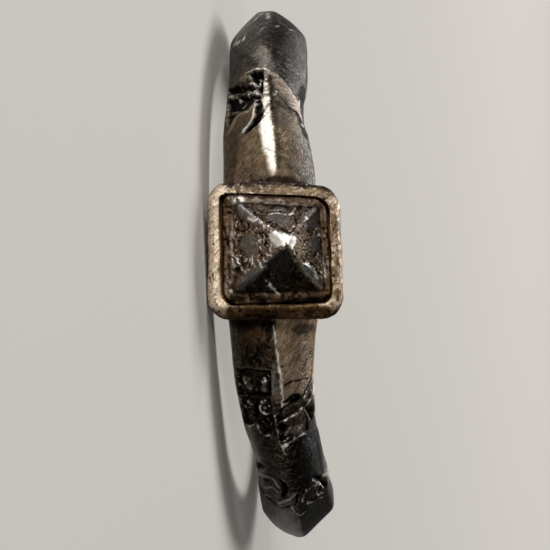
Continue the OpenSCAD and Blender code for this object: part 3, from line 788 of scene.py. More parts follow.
# The worn band, with ribs across its upper part
def wornRidge(degrees, place, points):
    stops, leftEdge, rightEdge = np.array(wornBand).T
    left = np.interp(degrees, stops, leftEdge)[:, None]
    right = np.interp(degrees, stops, rightEdge)[:, None]
    ragged = uneven(points, hoop["bandEdges"])
    fromLeft = easeIn(place - left + ragged, -0.08, 0.18)    # soft on its left, crisp on its right
    fromRight = easeIn(right - place + ragged, -0.02, 0.05)
    ends = between(degrees, 17.2, 19.4, 45, 46.4)
    slanted = np.radians(degrees)[:, None] * hoop["meanR"] - 0.8 * place
    ribs = easeIn(uneven(flatPoints(slanted, 0.4 * place), hoop["ribs"]), -0.35, 0.15)
    ribbed = easeIn(degrees, 30, 35)[:, None] * ribs
    return fromLeft * fromRight * ends[:, None] * (1 - 0.92 * ribbed)


# How black the hoop is: tarnish thicker where nothing rubs it, and thin in the finger hole, with the painted
# shade and light of the table above
def hoopTarnishAndPaintedLight(degrees, place, points, outside):
    stops, leftTarnish, rightTarnish = np.array(tarnishAndPaintedLightTable).T
    left = np.interp(degrees, stops, leftTarnish)[:, None]
    right = np.interp(degrees, stops, rightTarnish)[:, None]
    ridgeSide = sum(alongHoop(degrees, column) for column in (shiftColumn, ridgeColumn))
    fromRidge = place - (ridgeSide + alongHoop(degrees, flatColumn) / 2)[:, None]
    soft = 0.3 * easeIn(degrees, 45, 50)[:, None]
    tarnishAndPaintedLight = left + (right - left) * easeIn(fromRidge, -0.1 - soft, 0.04 + soft)
    # the right facet above the bezel is rubbed beside the ridge and darker at its edge
    above = between(degrees, 6, 12, 44, 50)[:, None] * (fromRidge > 0)
    tarnishAndPaintedLight = tarnishAndPaintedLight + above * (
        0.45 * easeIn(fromRidge, 0.8, 1.5) - 0.16 * (1 - easeIn(fromRidge, 0.4, 0.9)))
    tarnishAndPaintedLight = 0.45 + (tarnishAndPaintedLight - 0.45) * (0.25 + 0.75 * outside)    # the finger keeps the hole cleaner
    return np.clip(uneven(points, hoop["clouds"], tarnishAndPaintedLight), 0, 1)


# Cuts the notch into the right edge, and says where its wall is
def cutNotch(degrees, sections, points, radius):
    hole = hoop["holeR"]
    stops, edge = np.array(notch[::-1]).T
    limit = uneven(points, hoop["notchEdge"], np.interp(degrees, stops, edge, left=9, right=9)[:, None])
    wall = easeIn(sections[..., 1] - limit, 0, 0.08) * easeIn(radius, hole, hole + 0.3)
    kept = limit + 0.3 * easeIn(hole + 0.2 - radius, 0, 0.2)    # the finger hole keeps its width
    sections[..., 1] = np.minimum(sections[..., 1], kept)
    return wall


def makeHoop():
    degrees = stationDegrees()
    sections = hoopSections(degrees)
    radius, place = sections[..., 0], sections[..., 1]
    turn = np.radians(degrees)[:, None]
    hole = hoop["holeR"]

    def placed(r, z):
        return np.stack([-r * np.sin(turn), -r * np.cos(turn), z + 0 * r], -1)

    points = placed(radius, place)
    run = np.roll(sections, -1, 1) - np.roll(sections, 1, 1)
    out = np.stack([run[..., 1], -run[..., 0]], -1)
    out /= np.linalg.norm(out, axis=-1, keepdims=True)
    outside = easeIn(radius, hole + 0.05, hole + 0.5)    # no work in the finger hole
    height, bright, dark, gold = (values * outside for values in workHoop(degrees, place))
    wornAndHighlit = wornRidge(degrees, place, points) * outside
    height -= 0.018 * wornAndHighlit * easeIn(uneven(points, hoop["nicks"]), 0.35, 1.2)
    # hammered and worn unevenness, then a fine grain in what was cut
    cutInto = easeIn(-height, 0.02, 0.1)
    rough = uneven(points, hoop["hammered"]) + cutInto * uneven(points, hoop["cutGrain"])
    height = height + (rough - 0.02) * easeIn(radius, hole, hole + 0.25)
    sections = sections + out * height[..., None]
    dark = np.maximum(dark, 0.85 * cutNotch(degrees, sections, points, radius))
    points = placed(sections[..., 0], sections[..., 1])
    tarnishAndPaintedLight = hoopTarnishAndPaintedLight(degrees, place, points, outside)
    # edges that stand out wear bright and get a painted highlight, hollows hold dirt
    relief = height - blurred(height, 6)
    rubbed = 0.4 * easeIn(relief, 0.012, 0.04) * outside * (1 - 0.9 * tarnishAndPaintedLight)
    bright = np.clip(bright + 0.93 * wornAndHighlit + rubbed, 0, 1)
    dark = np.clip(dark + 0.7 * easeIn(-relief, 0.012, 0.04) * outside, 0, 1) * (1 - 0.8 * wornAndHighlit)
    # painted glints: bright specks painted near the cuts, where small facets of the cuts would catch the
    # light
    nearCuts = easeIn(blurred(cutInto, 8), 0.15, 0.5) * outside
    paintedGlints = nearCuts * (1 - 0.7 * dark) * easeIn(uneven(points, hoop["paintedGlints"]), 0.6, 0.9)
    bright = np.maximum(bright, paintedGlints)
    gold = np.maximum(gold, 0.3 * paintedGlints)
    run = np.cumsum(np.linalg.norm(np.roll(sections, -1, 1) - sections, axis=-1), 1)
    drawn = flatPoints(np.repeat(turn * hoop["meanR"], run.shape[1], 1), run)
    return points, bright, dark * (1 - paintedGlints), gold, tarnishAndPaintedLight * (1 - wornAndHighlit), drawn


# Bezel

bezel = {
    "width": 5.75,          # mm across the hoop
    "length": 5.65,         # mm along the hoop
    "turn": 4,              # degrees on the hoop
    "shift": -0.15,         # mm across the hoop
    "rimR": 12.7,           # from the hoop's axis to the rim
    "corners": (0.75, 0.95, 0.95, 0.9),      # radius of the box's corners, from the upper left round
    "recessRadii": (0.25, 0.6, 0.4, 0.6),    # the same for the recess
    "cornerTaper": 0.6,     # how much of the box's narrowing its corners take part in
    "recessDepth": 1.0,
    "upperLeftHigh": 0.10,  # how far the box's corners stand off a plain box
    "upperRightIn": 0.12,
    "lowerRightOut": 0.07,
    "lowerShort": 0.10,     # how much the lower side stands back
    "lowerSlope": 0.30,     # how far the rim slopes down towards it
    "leftSlope": 0.10,      # how far the left band slopes in towards the recess
    "collar": 0.26,         # how far the upper wall swells out below the rim
    "collarSpan": (0.0, 0.7, 1.7, 2.3),    # mm below the rim: it starts, is full, is still full, has ended
    "collarHalf": 3.1,      # mm from its middle to its ends
    "uneven": 0.09,         # how far the recess's wall wanders
    "wornAndHighlitCorners": ((-2.45, -2.3, 0.45), (2.5, -2.2, 0.36), (-2.36, 2.42, 0.26)),    # places and reach
    "perSide": 80,          # mesh points along a side and round a corner
    "perCorner": 24,
    "wallLevels": 30,       # mesh rows up the wall and over the rim
    "rimLevels": 22,
    "floorShares": (0.9, 0.6, 0.3),    # mesh rows on the recess's floor, as shares of its size
    # layers of lumps: amount, size in mm, seed
    "dents": [(1.3, 0.9, 11), (0.8, 0.35, 14)],
    "grain": [(1, 0.13, 12), (0.7, 0.08, 13)],
    "wander": [(0.6, 0.8, 45), (0.4, 0.3, 46)],
    "clouds": [(0.9, 0.5, 15), (0.9, 0.17, 18)],
    "brokenEdge": [(1, 0.35, 16)],
}
recessCorners = [[-2.26, 2.66], [2.20, 2.38], [2.42, -2.00], [-2.19, -2.16]]

# The bezel's profile from its foot up over the rim. Columns: how much smaller than the
# box the outline is, and height below the rim, both in mm.
wallProfile = [
    [0.50, 2.30],
    [0.34, 1.85],
    [0.18, 1.40],
    [0.07, 1.00],
    [0.01, 0.70],
    [0.00, 0.54],
    [0.04, 0.40],
    [0.12, 0.27],
    [0.24, 0.16],
    [0.38, 0.08],
    [0.54, 0.03],
    [0.68, 0.01],
]

# From there over the rim and down into the recess. Columns: share of the way to the
# recess's wall, and height below the rim.
rimProfile = [
    [0.00, 0.01],
    [0.35, 0.00],
    [0.70, 0.00],
    [0.82, 0.03],
    [0.90, 0.09],
    [0.96, 0.20],
    [0.99, 0.34],
    [1.00, 0.55],
    [1.00, 1.00],
]


# From places across and along the bezel, and heights from the hoop's axis, to the ring's own axes
def atFront(flatPlaces, heights):
    turn = math.radians(90 - bezel["turn"])
    x = flatPlaces[..., 0] * math.cos(turn) - flatPlaces[..., 1] * math.sin(turn)
    z = flatPlaces[..., 0] * math.sin(turn) + flatPlaces[..., 1] * math.cos(turn)
    return np.stack([x, -heights + 0 * x, z + bezel["shift"]], -1)


def boxOutline(smaller):
    w = (bezel["width"] - smaller) / 2
    l = (bezel["length"] - smaller) / 2
    radii = [corner - smaller / 2 * bezel["cornerTaper"] for corner in bezel["corners"]]
    low = bezel["lowerShort"] - l
    corners = [[-w, l + bezel["upperLeftHigh"]], [w - bezel["upperRightIn"], l],
               [w + bezel["lowerRightOut"], low], [-w, low]]
    return roundedOutline(corners, radii, bezel["perSide"], bezel["perCorner"])


# The recess's corners moved in by a gap
def recessInset(gap):
    corners = np.array(recessCorners)
    moved = []
    for i in range(4):
        a = corners[i] - corners[i - 1]
        b = corners[(i + 1) % 4] - corners[i]
        a = a / np.linalg.norm(a)
        b = b / np.linalg.norm(b)
        moved.append(corners[i] + (b - a) / np.linalg.norm(b - a) * gap / math.sin(cornerHalf(corners, i)))
    return moved


# Both columns of a profile, at evenly spread levels
def alongProfile(profile, levels):
    profile = np.array(profile)
    rows = np.arange(len(profile))
    steps = np.linspace(0, len(profile) - 1, levels)
    return np.interp(steps, rows, profile[:, 0]), np.interp(steps, rows, profile[:, 1])


# The bezel's grid: a row round the box for each level, from its foot over the rim and down
# into the recess. It comes with each level's share of the way over the rim.
def bezelGrid():
    smaller, wallDrops = alongProfile(wallProfile, bezel["wallLevels"])
    share, rimDrops = alongProfile(rimProfile, bezel["rimLevels"])
    rimDrops[-1] = bezel["recessDepth"]
    top = boxOutline(smaller[-1])
    recess = roundedOutline(recessInset(0), bezel["recessRadii"], bezel["perSide"], bezel["perCorner"])
    middle = recess.mean(0)
    levels = [boxOutline(value) for value in smaller]
    levels += [top + (recess - top) * value for value in share[1:]]
    levels += [middle + (recess - middle) * value for value in bezel["floorShares"]]
    floorLevels = len(bezel["floorShares"])
    drops = np.concatenate([wallDrops, rimDrops[1:], [bezel["recessDepth"]] * floorLevels])
    inward = np.concatenate([0 * wallDrops, share[1:], [1] * floorLevels])
    return np.stack(levels, 1), drops, inward, recess


def makeBezel():
    flatPlaces, drops, inward, recess = bezelGrid()
    order = np.arange(len(drops))
    wallRows = bezel["wallLevels"]
    rimRows = bezel["rimLevels"]
    onWall = order < wallRows
    overRim = order < wallRows + rimRows - 1
    x, y = flatPlaces[..., 0], flatPlaces[..., 1]
    swollen = between(drops, *bezel["collarSpan"]) * onWall
    y += bezel["collar"] * np.clip(1 - (x / bezel["collarHalf"]) ** 2, 0, 1) * swollen * easeIn(y, 1.9, 2.5)
    sloped = bezel["lowerSlope"] * easeIn(-y, 2.15, 2.75) * np.clip(1 - drops / 1.4, 0, 1)
    sloped = sloped + bezel["leftSlope"] * easeIn(-x, 1.9, 2.25) * inward
    heights = bezel["rimR"] - drops - sloped
    points = atFront(flatPlaces, heights)
    # dents and pits from the foot of the wall over the rim, and none down in the recess
    shown = between(order, 1, 4, wallRows + rimRows * 0.55, wallRows + rimRows * 0.75)
    grain = uneven(points, bezel["grain"])
    pits = easeIn(grain, 0.45, 1.05)
    push = (0.034 * uneven(points, bezel["dents"]) + 0.02 * grain - 0.04 * pits - 0.02) * shown
    outward = flatPlaces / np.linalg.norm(flatPlaces, axis=-1, keepdims=True)
    onRim = easeIn(-drops, -0.45, -0.06) * (order < wallRows + rimRows)
    flatPlaces = flatPlaces + outward * (push * (1 - onRim))[..., None]
    wander = np.clip(uneven(flatPoints(*recess.T), bezel["wander"], 0.5), 0, 1)
    wander = bezel["uneven"] * wander[:, None] * easeIn(inward, 0.5, 0.9)
    flatPlaces = flatPlaces + outward * (wander * overRim)[..., None]
    heights = heights + push * onRim
    points = atFront(flatPlaces, heights)
    # the rim is painted brightest on its left band as painted light, and darker on its lower wall, which
    # faces away from the light, as painted shade
    x, y = flatPlaces[..., 0], flatPlaces[..., 1]
    left = easeIn(-x, 1.9, 2.25)
    right = easeIn(x, 2.1, 2.5)
    lower = easeIn(-y, 2.12, 2.4)
    upper = easeIn(y, 2.3, 2.6) * (1 - left)
    inner = easeIn(inward[None] + 0.16 * left, 0.86, 0.96)
    deep = easeIn(inward, 0.93, 0.985)[None]
    relief = push - blurred(push, 5)
    cloudy = uneven(points, bezel["clouds"])
    # painted light on the left band and painted shade on the lower wall, over rubbing and clouds
    rubbed = 0.06 - 0.12 * upper + 0.98 * left - 0.75 * lower * (1 - 0.4 * left) + 0.34 * cloudy
    bright = np.maximum(onRim, easeIn(-drops, -0.75, -0.15) * onWall * left) * rubbed
    bright = bright + 0.65 * easeIn(relief, 0.004, 0.02) * shown * (1 - 0.6 * lower)
    # painted highlights: bright lines along the outer edge on the right, the inner edge and the lower wall's
    # inner edge
    outerEdge = hump(drops, 0.13, 0.1) * onWall
    innerEdge = (hump(inward, 0.62, 0.22) * (order > wallRows))[None]
    lowerEdge = hump(inward, 0.68, 0.12)[None] * lower
    broken = easeIn(uneven(points, bezel["brokenEdge"]), -0.5, 0.5)
    bright = bright + outerEdge * right * (0.4 + 0.2 * cloudy) + 0.4 * innerEdge * broken * (1 - lower)
    bright = bright + lowerEdge * (0.4 + 0.6 * easeIn(np.abs(x), 0.6, 1.8))
    # the corners are worn and carry painted highlights
    wornAndHighlit = sum(hump(np.hypot(x - a, y - b), 0, reach) for a, b, reach in bezel["wornAndHighlitCorners"])
    wornAndHighlit = onRim * wornAndHighlit * easeIn(cloudy, -0.8, 0.1)
    bright = np.clip((bright + wornAndHighlit) * (1 - inner) * (1 - 0.7 * pits), 0, 1)
    # pits hold dirt, and 0.45 * deep is painted shade at the foot of the recess
    dark = 0.65 * pits * shown + 0.3 * easeIn(-relief, 0.005, 0.02) * shown + 0.45 * deep
    # painted shade on the lower wall
    paintedShadeBelow = (0.62 + 0.3 * cloudy) * lower * (1 - lowerEdge) * (1 - deep) * (1 - wornAndHighlit) * shown
    # golden dirt on the recess wall, and painted shade on the lower wall
    dirtAndPaintedLight = np.clip(inner + 0.4 * lower * (1 - lowerEdge), 0, 1)
    # tarnish, with painted shade on the lower wall and painted light on the left band
    tarnishAndPaintedLight = (0.3 + 0.45 * upper) * (1 - onRim) + 0.24 + 0.10 * upper + 0.45 * lower + 0.26 * cloudy
    tarnishAndPaintedLight = np.clip(tarnishAndPaintedLight, 0, 1) * (1 - left * onRim)
    drawn = np.stack([x, y, heights], -1)
    return points, bright, np.clip(dark + paintedShadeBelow, 0, 1), dirtAndPaintedLight, tarnishAndPaintedLight, drawn


# Faces of a grid that is closed along its rows, with its first and last columns capped
def cappedFaces(rows, columns):
    first = [i * columns for i in range(rows)]
    last = [i * columns + columns - 1 for i in range(rows)]
    return gridFaces(rows, columns, False) + [first[::-1], last]


# The hoop and the bezel are made apart, then joined as the solder joins them
def makeHoopAndBezel():
    hoopParts, bezelParts = makeHoop(), makeBezel()
    whole = newPiece("hoop_and_bezel_silver", hoopParts[0].reshape(-1, 3),
                     gridFaces(*hoopParts[1].shape, True))
    box = newPiece("box", bezelParts[0].reshape(-1, 3), cappedFaces(*bezelParts[1].shape))
    for piece in (whole, box):
        turnOutwards(piece)
    join = whole.modifiers.new("soldered", "BOOLEAN")
    join.operation = "UNION"
    join.solver = "MANIFOLD"
    join.object = box
    bpy.context.view_layer.update()
    joined = bpy.data.meshes.new_from_object(whole.evaluated_get(bpy.context.evaluated_depsgraph_get()))
    whole.modifiers.clear()
    whole.data = joined
    bpy.data.objects.remove(box)
    # what was worked out for each point is carried over to the joined mesh
    before = np.vstack([part.reshape(-1, 3) for part in (hoopParts[0], bezelParts[0])])
    tree = kdtree.KDTree(len(before))
    for i, p in enumerate(before):
        tree.insert(p, i)
    tree.balance()
    points = np.array([v.co for v in joined.vertices])
    nearest = np.array([tree.find(p)[1] for p in points])
    for column, name in enumerate(("bright", "dark", "dirtAndPaintedLight", "tarnishAndPaintedLight", "drawn"), 1):
        width = (-1, 3) if name == "drawn" else -1
        both = [part[column].reshape(width) for part in (hoopParts, bezelParts)]
        storeValues(whole, name, np.concatenate(both)[nearest])
    storeValues(whole, "bezel", (nearest >= hoopParts[1].size).astype(float))
    turn = np.degrees(np.arctan2(-points[:, 0], -points[:, 1]))
    storeValues(whole, "ringPlace", np.stack([turn, points[:, 2], np.hypot(points[:, 0], points[:, 1])], -1))
    joined.vertices.foreach_set("co", layDown(points).ravel())
    joined.update()
    shadeSmooth(whole, hoop["sharpAngle"])
    return whole


hoopAndBezel = makeHoopAndBezel()
print("hoop and bezel made,", len(hoopAndBezel.data.polygons), "faces")


# Pyramid

pyramid = {
    "plateDrop": 0.3,       # mm from the rim down to the plate round the pyramid
    "pointRise": 1.85,      # from the rim up to the point
    "point": (0.54, 0.32),  # place of the point across and along the hoop
    "blunt": 0.16,          # how far the worn point is rounded
    "bluntReach": 0.18,
    "edgeSharpness": 14,    # of the pyramid's edges under the bars
    "edgeRound": 0.05,      # how far the plate's edge falls into the groove
    "settingGap": 0.03,     # to the wall of the recess
    "radii": (0.45, 0.7, 0.55, 0.6),    # of the plate's corners, from the upper left round
    "seatGap": 0.02,        # to the floor of the recess
    "roughness": 0.036,     # height of the rough ground's grains
    "perSide": 92,          # mesh points along a side and round a corner
    "perCorner": 30,
    "rings": 120,           # mesh rings from the point out to the rim
    "skirtRings": 5,        # and down to the recess floor
    "underShares": (0.7, 0.35),    # rings on the underside, as shares of its size
    "reliefReach": 0.06,    # mm, how near a grain stands out of or a hole lies in the ground
    "sharpAngle": 60,       # degrees
    # layers of lumps: amount, size in mm, seed
    "raggedX": [(0.06, 0.2, 31), (0.035, 0.07, 37)],
    "raggedY": [(0.06, 0.2, 32), (0.035, 0.07, 38)],
    "ridges": [(1.4, 0.15, 21)],
    "grains": [(1.2, 0.07, 22), (0.8, 0.28, 23)],
    "wavy": [(0.01, 0.2, 24)],
    "clusters": [(1, 0.35, 28)],
    "footEdge": [(0.05, 0.3, 27)],
    "scrapBreaks": [(1, 0.12, 43)],
    "borderBreaks": [(1, 0.6, 26)],
    "plateWaves": [(0.02, 0.3, 24), (0.02, 0.1, 25)],
    "plateSpots": [(1, 0.11, 35), (0.5, 0.3, 36)],
    "plateGold": [(0.35, 0.4, 29)],
    "groundGold": [(0.35, 0.45, 30)],
    "polish": [(0.35, 0.25, 39), (0.2, 0.1, 40)],
    "lowEdgeSpots": [(0.35, 0.22, 33)],
}
baseCorners = [[-1.84, 2.30], [1.94, 2.12], [2.18, -1.66], [-1.90, -1.76]]

# Bars along the corners. Columns: start and end across and along the hoop, width, how far
# they stand out, and how smooth they are worn.
bars = [
    [(-1.72, 2.18), (-0.92, 1.42), 0.62, 0.13, 1.0],
    [(-0.92, 1.42), (0.20, 0.66), 0.50, 0.10, 0.3],
    [(-1.76, -1.56), (-0.42, -0.60), 0.64, 0.12, 0.9],
    [(2.08, -1.50), (1.34, -0.58), 0.50, 0.13, 0.9],
    [(1.80, 2.02), (1.30, 1.36), 0.30, 0.05, 0.7],
    [(1.30, 1.36), (0.62, 0.60), 0.24, 0.03, 0.3],
]
# Lozenges and smooth patches between them. Columns: rise in mm, smoothness, corners.
patches = [
    [0.06, 0.9, [(-0.98, 0.98), (-1.60, 0.38), (-1.05, -0.30), (-0.66, 0.22)]],
    [0.06, 0.9, [(1.72, 0.97), (1.41, 0.45), (1.60, -0.20), (1.97, 0.50)]],
    [0.07, 1.0, [(-0.25, 1.80), (0.14, 2.05), (0.62, 1.77)]],
    [0.04, 0.7, [(-0.38, 1.52), (-0.25, 1.66), (0.70, 1.66), (0.80, 1.35), (0.44, 0.98)]],
    [0.05, 0.95, [(0.00, -0.66), (0.86, -0.66), (0.38, -1.51)]],
    [0.05, 0.8, [(0.45, 0.20), (-0.58, -0.52), (-0.16, -0.85), (0.63, -0.77), (0.78, -0.20)]],
    [0.03, 0.8, [(1.05, 1.75), (1.70, 2.00), (1.90, 1.20), (1.30, 0.90)]],
    [0.05, 1.0, [(-0.30, 0.72), (0.10, 0.90), (0.50, 0.80), (0.96, 0.58), (0.80, 0.02),
                 (0.52, 0.30), (0.06, 0.10)]],
]
# Patches that dirt or tarnish darkens, and the kite under the point and the lower face, which face away from
# the light, darkened as painted shade. Columns: how dark, and corners.
darkAndShadedPatches = [
    [0.95, [(0.00, -0.66), (0.86, -0.66), (0.38, -1.51)]],
    [0.90, [(0.52, 0.26), (-0.50, -0.50), (-0.16, -0.85), (0.63, -0.80), (0.80, -0.20)]],
    [0.55, [(-0.25, 1.80), (0.14, 2.05), (0.62, 1.77)]],
    [0.60, [(-1.60, -1.78), (-1.75, -1.50), (-0.55, -0.66), (-0.25, -0.80)]],
    [0.35, [(1.80, 2.10), (2.00, 1.70), (1.20, 1.10), (0.95, 1.25)]],
    [0.80, [(0.95, -0.55), (0.55, -1.30), (1.30, -1.65), (1.95, -1.60)]],
    [0.88, [(0.50, 0.10), (-1.65, -1.78), (2.00, -1.72)]],
    [0.60, [(0.40, 0.70), (-1.60, 2.20), (1.70, 2.10)]],
]
# Hollows in the rough ground. Columns: place, size and depth, in mm.
hollows = [
    [(-0.60, -1.46), 0.30, 0.10],
    [(-1.60, -0.68), 0.24, 0.12],
    [(-1.36, -0.46), 0.20, 0.10],
    [(1.00, -1.12), 0.34, 0.16],
    [(1.52, -1.44), 0.22, 0.10],
    [(0.82, -1.02), 0.22, 0.10],
    [(-0.28, -0.94), 0.18, 0.10],
    [(-1.55, 1.00), 0.16, 0.06],
    [(1.20, -0.30), 0.16, 0.06],
]
# Bright scraps, and painted highlights along the upper edges of the bars and at their corners. Columns: width
# in mm, how bright, and the line they follow.
scrapsAndHighlights = [
    [0.10, 1.0, [(-0.32, -1.14), (-0.10, -1.42), (0.14, -1.65)]],
    [0.06, 0.8, [(-0.25, 1.67), (0.20, 1.68), (0.70, 1.66)]],
    [0.07, 1.0, [(-1.80, -0.03), (-1.60, -0.22), (-1.45, -0.42)]],
    [0.06, 0.6, [(1.82, -0.14), (2.02, -0.50), (2.16, -0.98)]],
    [0.05, 0.6, [(2.00, -0.12), (2.10, -0.50), (2.16, -0.98)]],
    [0.16, 0.9, [(-1.70, 2.26), (-1.54, 2.38), (-1.36, 2.36)]],
    [0.06, 1.0, [(-0.62, -0.48), (-0.45, -0.62)]],
    [0.08, 0.8, [(-1.84, -1.50), (-1.80, -1.62)]],
    [0.05, 0.9, [(-0.70, -0.40), (-0.52, -0.50)]],
    [0.08, 0.3, [(-1.10, 2.34), (-0.40, 2.32), (0.30, 2.26)]],
    [0.10, 0.25, [(-0.80, 2.10), (0.20, 2.14), (1.40, 2.04)]],
    [0.07, 0.3, [(-1.86, -1.20), (-1.84, 0.20), (-1.80, 1.40)]],
    [0.06, 1.0, [(1.66, -0.70), (1.86, -1.10)]],
    [0.10, 1.0, [(-1.12, 1.44), (-0.98, 1.46), (-0.84, 1.34)]],
    [0.09, 1.0, [(1.38, -0.52), (1.46, -0.62)]],
    [0.08, 1.0, [(1.70, -0.98), (1.78, -1.12)]],
    [0.08, 1.0, [(1.33, 1.56), (1.42, 1.48)]],
    [0.07, 1.0, [(-1.80, -0.20), (-1.72, -0.55)]],
]


# Height of the plain pyramid: the lowest of four planes from the base's edges to the point
def plainPyramid(x, y, plate, peak):
    corners = np.array(baseCorners)
    tip = np.array(pyramid["point"])
    planes = []
    for a, b in zip(corners, np.roll(corners, -1, 0)):
        along = (b - a) / np.linalg.norm(b - a)
        inward = np.array([along[1], -along[0]])
        reach = (tip - a) @ inward
        planes.append(plate + ((x - a[0]) * inward[0] + (y - a[1]) * inward[1]) / reach * (peak - plate))
    planes = np.array(planes)
    sharpness = pyramid["edgeSharpness"]
    low = planes.min(0)
    return low - np.log(np.exp(-(planes - low) * sharpness).sum(0)) / sharpness


# Height of the worked pyramid and the plate round it, and how bright, dark, smooth or
# golden each place is
def shapePyramid(x, y):
    rim = bezel["rimR"]
    plate = rim - pyramid["plateDrop"]
    places = flatPoints(x, y)
    ragged = uneven(places, pyramid["raggedX"], x), uneven(places, pyramid["raggedY"], y)
    spots = flatPoints(*ragged)
    fromTip = np.hypot(x - pyramid["point"][0], y - pyramid["point"][1])
    sides = plainPyramid(x, y, plate - 0.1, rim + pyramid["pointRise"] + 0.02)
    sides = sides - pyramid["blunt"] * hump(fromTip, 0, pyramid["bluntReach"])
    smooth = np.zeros(x.shape)
    rise = np.zeros(x.shape)
    for start, end, width, high, shine in bars:
        distance, _, _ = nearLine(*ragged, np.array([start, end]))
        across = np.clip(distance / (width / 2), 0, 1)
        rise = np.maximum(rise, high * (1 - across ** 3))
        smooth = np.maximum(smooth, shine * easeIn(-distance, -width / 2, -width / 2 + 0.1))
    for high, shine, corners in patches:
        share = easeIn(insideArea(*ragged, corners), -0.05, 0.09)
        rise = np.maximum(rise, high * share)
        smooth = np.maximum(smooth, shine * share)
    # rough ground: grains and holes of a poor casting, filled with dirt
    rough = 1 - smooth
    grains = uneven(spots, pyramid["grains"], 0.6 - np.abs(uneven(spots, pyramid["ridges"])))
    rise = rise + rough * pyramid["roughness"] * grains + smooth * uneven(spots, pyramid["wavy"])
    dark = 0.85 * rough * easeIn(-grains, -0.2, 0.7)
    # dirt and tarnish, and painted shade on the lower face and the kite under the point
    for share, corners in darkAndShadedPatches:
        dark = np.maximum(dark, share * easeIn(insideArea(*ragged, corners), -0.06, 0.10))
    for centre, size, depth in hollows:
        share = hump(np.hypot(ragged[0] - centre[0], ragged[1] - centre[1]), 0, size * 0.6) * rough
        rise = rise - depth * share
        dark = np.maximum(dark, share)
    onSides = easeIn(uneven(spots, pyramid["footEdge"], sides - plate), -0.10, 0.12)
    onPlate = 1 - onSides
    clusters = easeIn(uneven(spots, pyramid["clusters"]), -0.4, 0.4)
    bright = 0.75 * rough * easeIn(grains, 0.9, 1.35) * clusters * (0.3 + 0.7 * onSides)
    # bright scraps, and painted highlights on the edges of the bars
    for width, shine, line in scrapsAndHighlights:
        distance, _, _ = nearLine(*ragged, drawnLine(line))
        unbroken = easeIn(uneven(spots, pyramid["scrapBreaks"]), -0.9, 0.1)
        share = shine * hump(distance, 0, width * 0.6) * unbroken
        rise = rise + 0.03 * share
        bright = np.maximum(bright, share)
        dark = dark * (1 - share)
    # the plate lies in golden dirt, with a faint line along its left and right sides
    border = hump(insideArea(x, y, baseCorners), -0.16, 0.035)
    border = 0.22 * border * easeIn(uneven(spots, pyramid["borderBreaks"]), -0.3, 0.5)
    border = border * easeIn(np.abs(x), 1.6, 1.8)
    ground = uneven(spots, pyramid["plateWaves"], plate + 0.04 * border) + 0.03 * bright
    height = ground * onPlate + np.maximum(sides + rise, ground) * onSides
    bright = np.maximum(bright, border * onPlate)
    smooth = smooth * easeIn(onSides, 0.2, 0.7)
    spotted = 0.28 + 0.6 * easeIn(uneven(spots, pyramid["plateSpots"]), -0.1, 0.8) - 0.3 * easeIn(y, 1.9, 2.3)
    dark = np.clip(dark * (0.3 + 0.7 * onSides) + onPlate * spotted, 0, 1)
    # the worn point is painted white as a painted highlight, on the side towards the top and on the right
    wornAndHighlit = easeIn(insideArea(*ragged, patches[-1][2]), -0.04, 0.08)
    bright = np.maximum(bright, wornAndHighlit)
    dark = dark * (1 - wornAndHighlit)
    golden = onPlate * uneven(spots, pyramid["plateGold"], 0.62)
    golden = golden + onSides * rough * uneven(spots, pyramid["groundGold"], 0.3)
    smooth = smooth * np.clip(uneven(spots, pyramid["polish"], 0.8), 0, 1)
    # its lower edge is darker and golden
    lowEdge = onPlate * easeIn(-y, 1.5, 1.9)
    dark = np.maximum(dark, lowEdge * uneven(spots, pyramid["lowEdgeSpots"], 0.86))
    golden = np.maximum(golden, lowEdge) * (1 - 0.6 * wornAndHighlit)
    return height, bright, np.clip(dark, 0, 1), smooth, np.clip(golden, 0, 1)


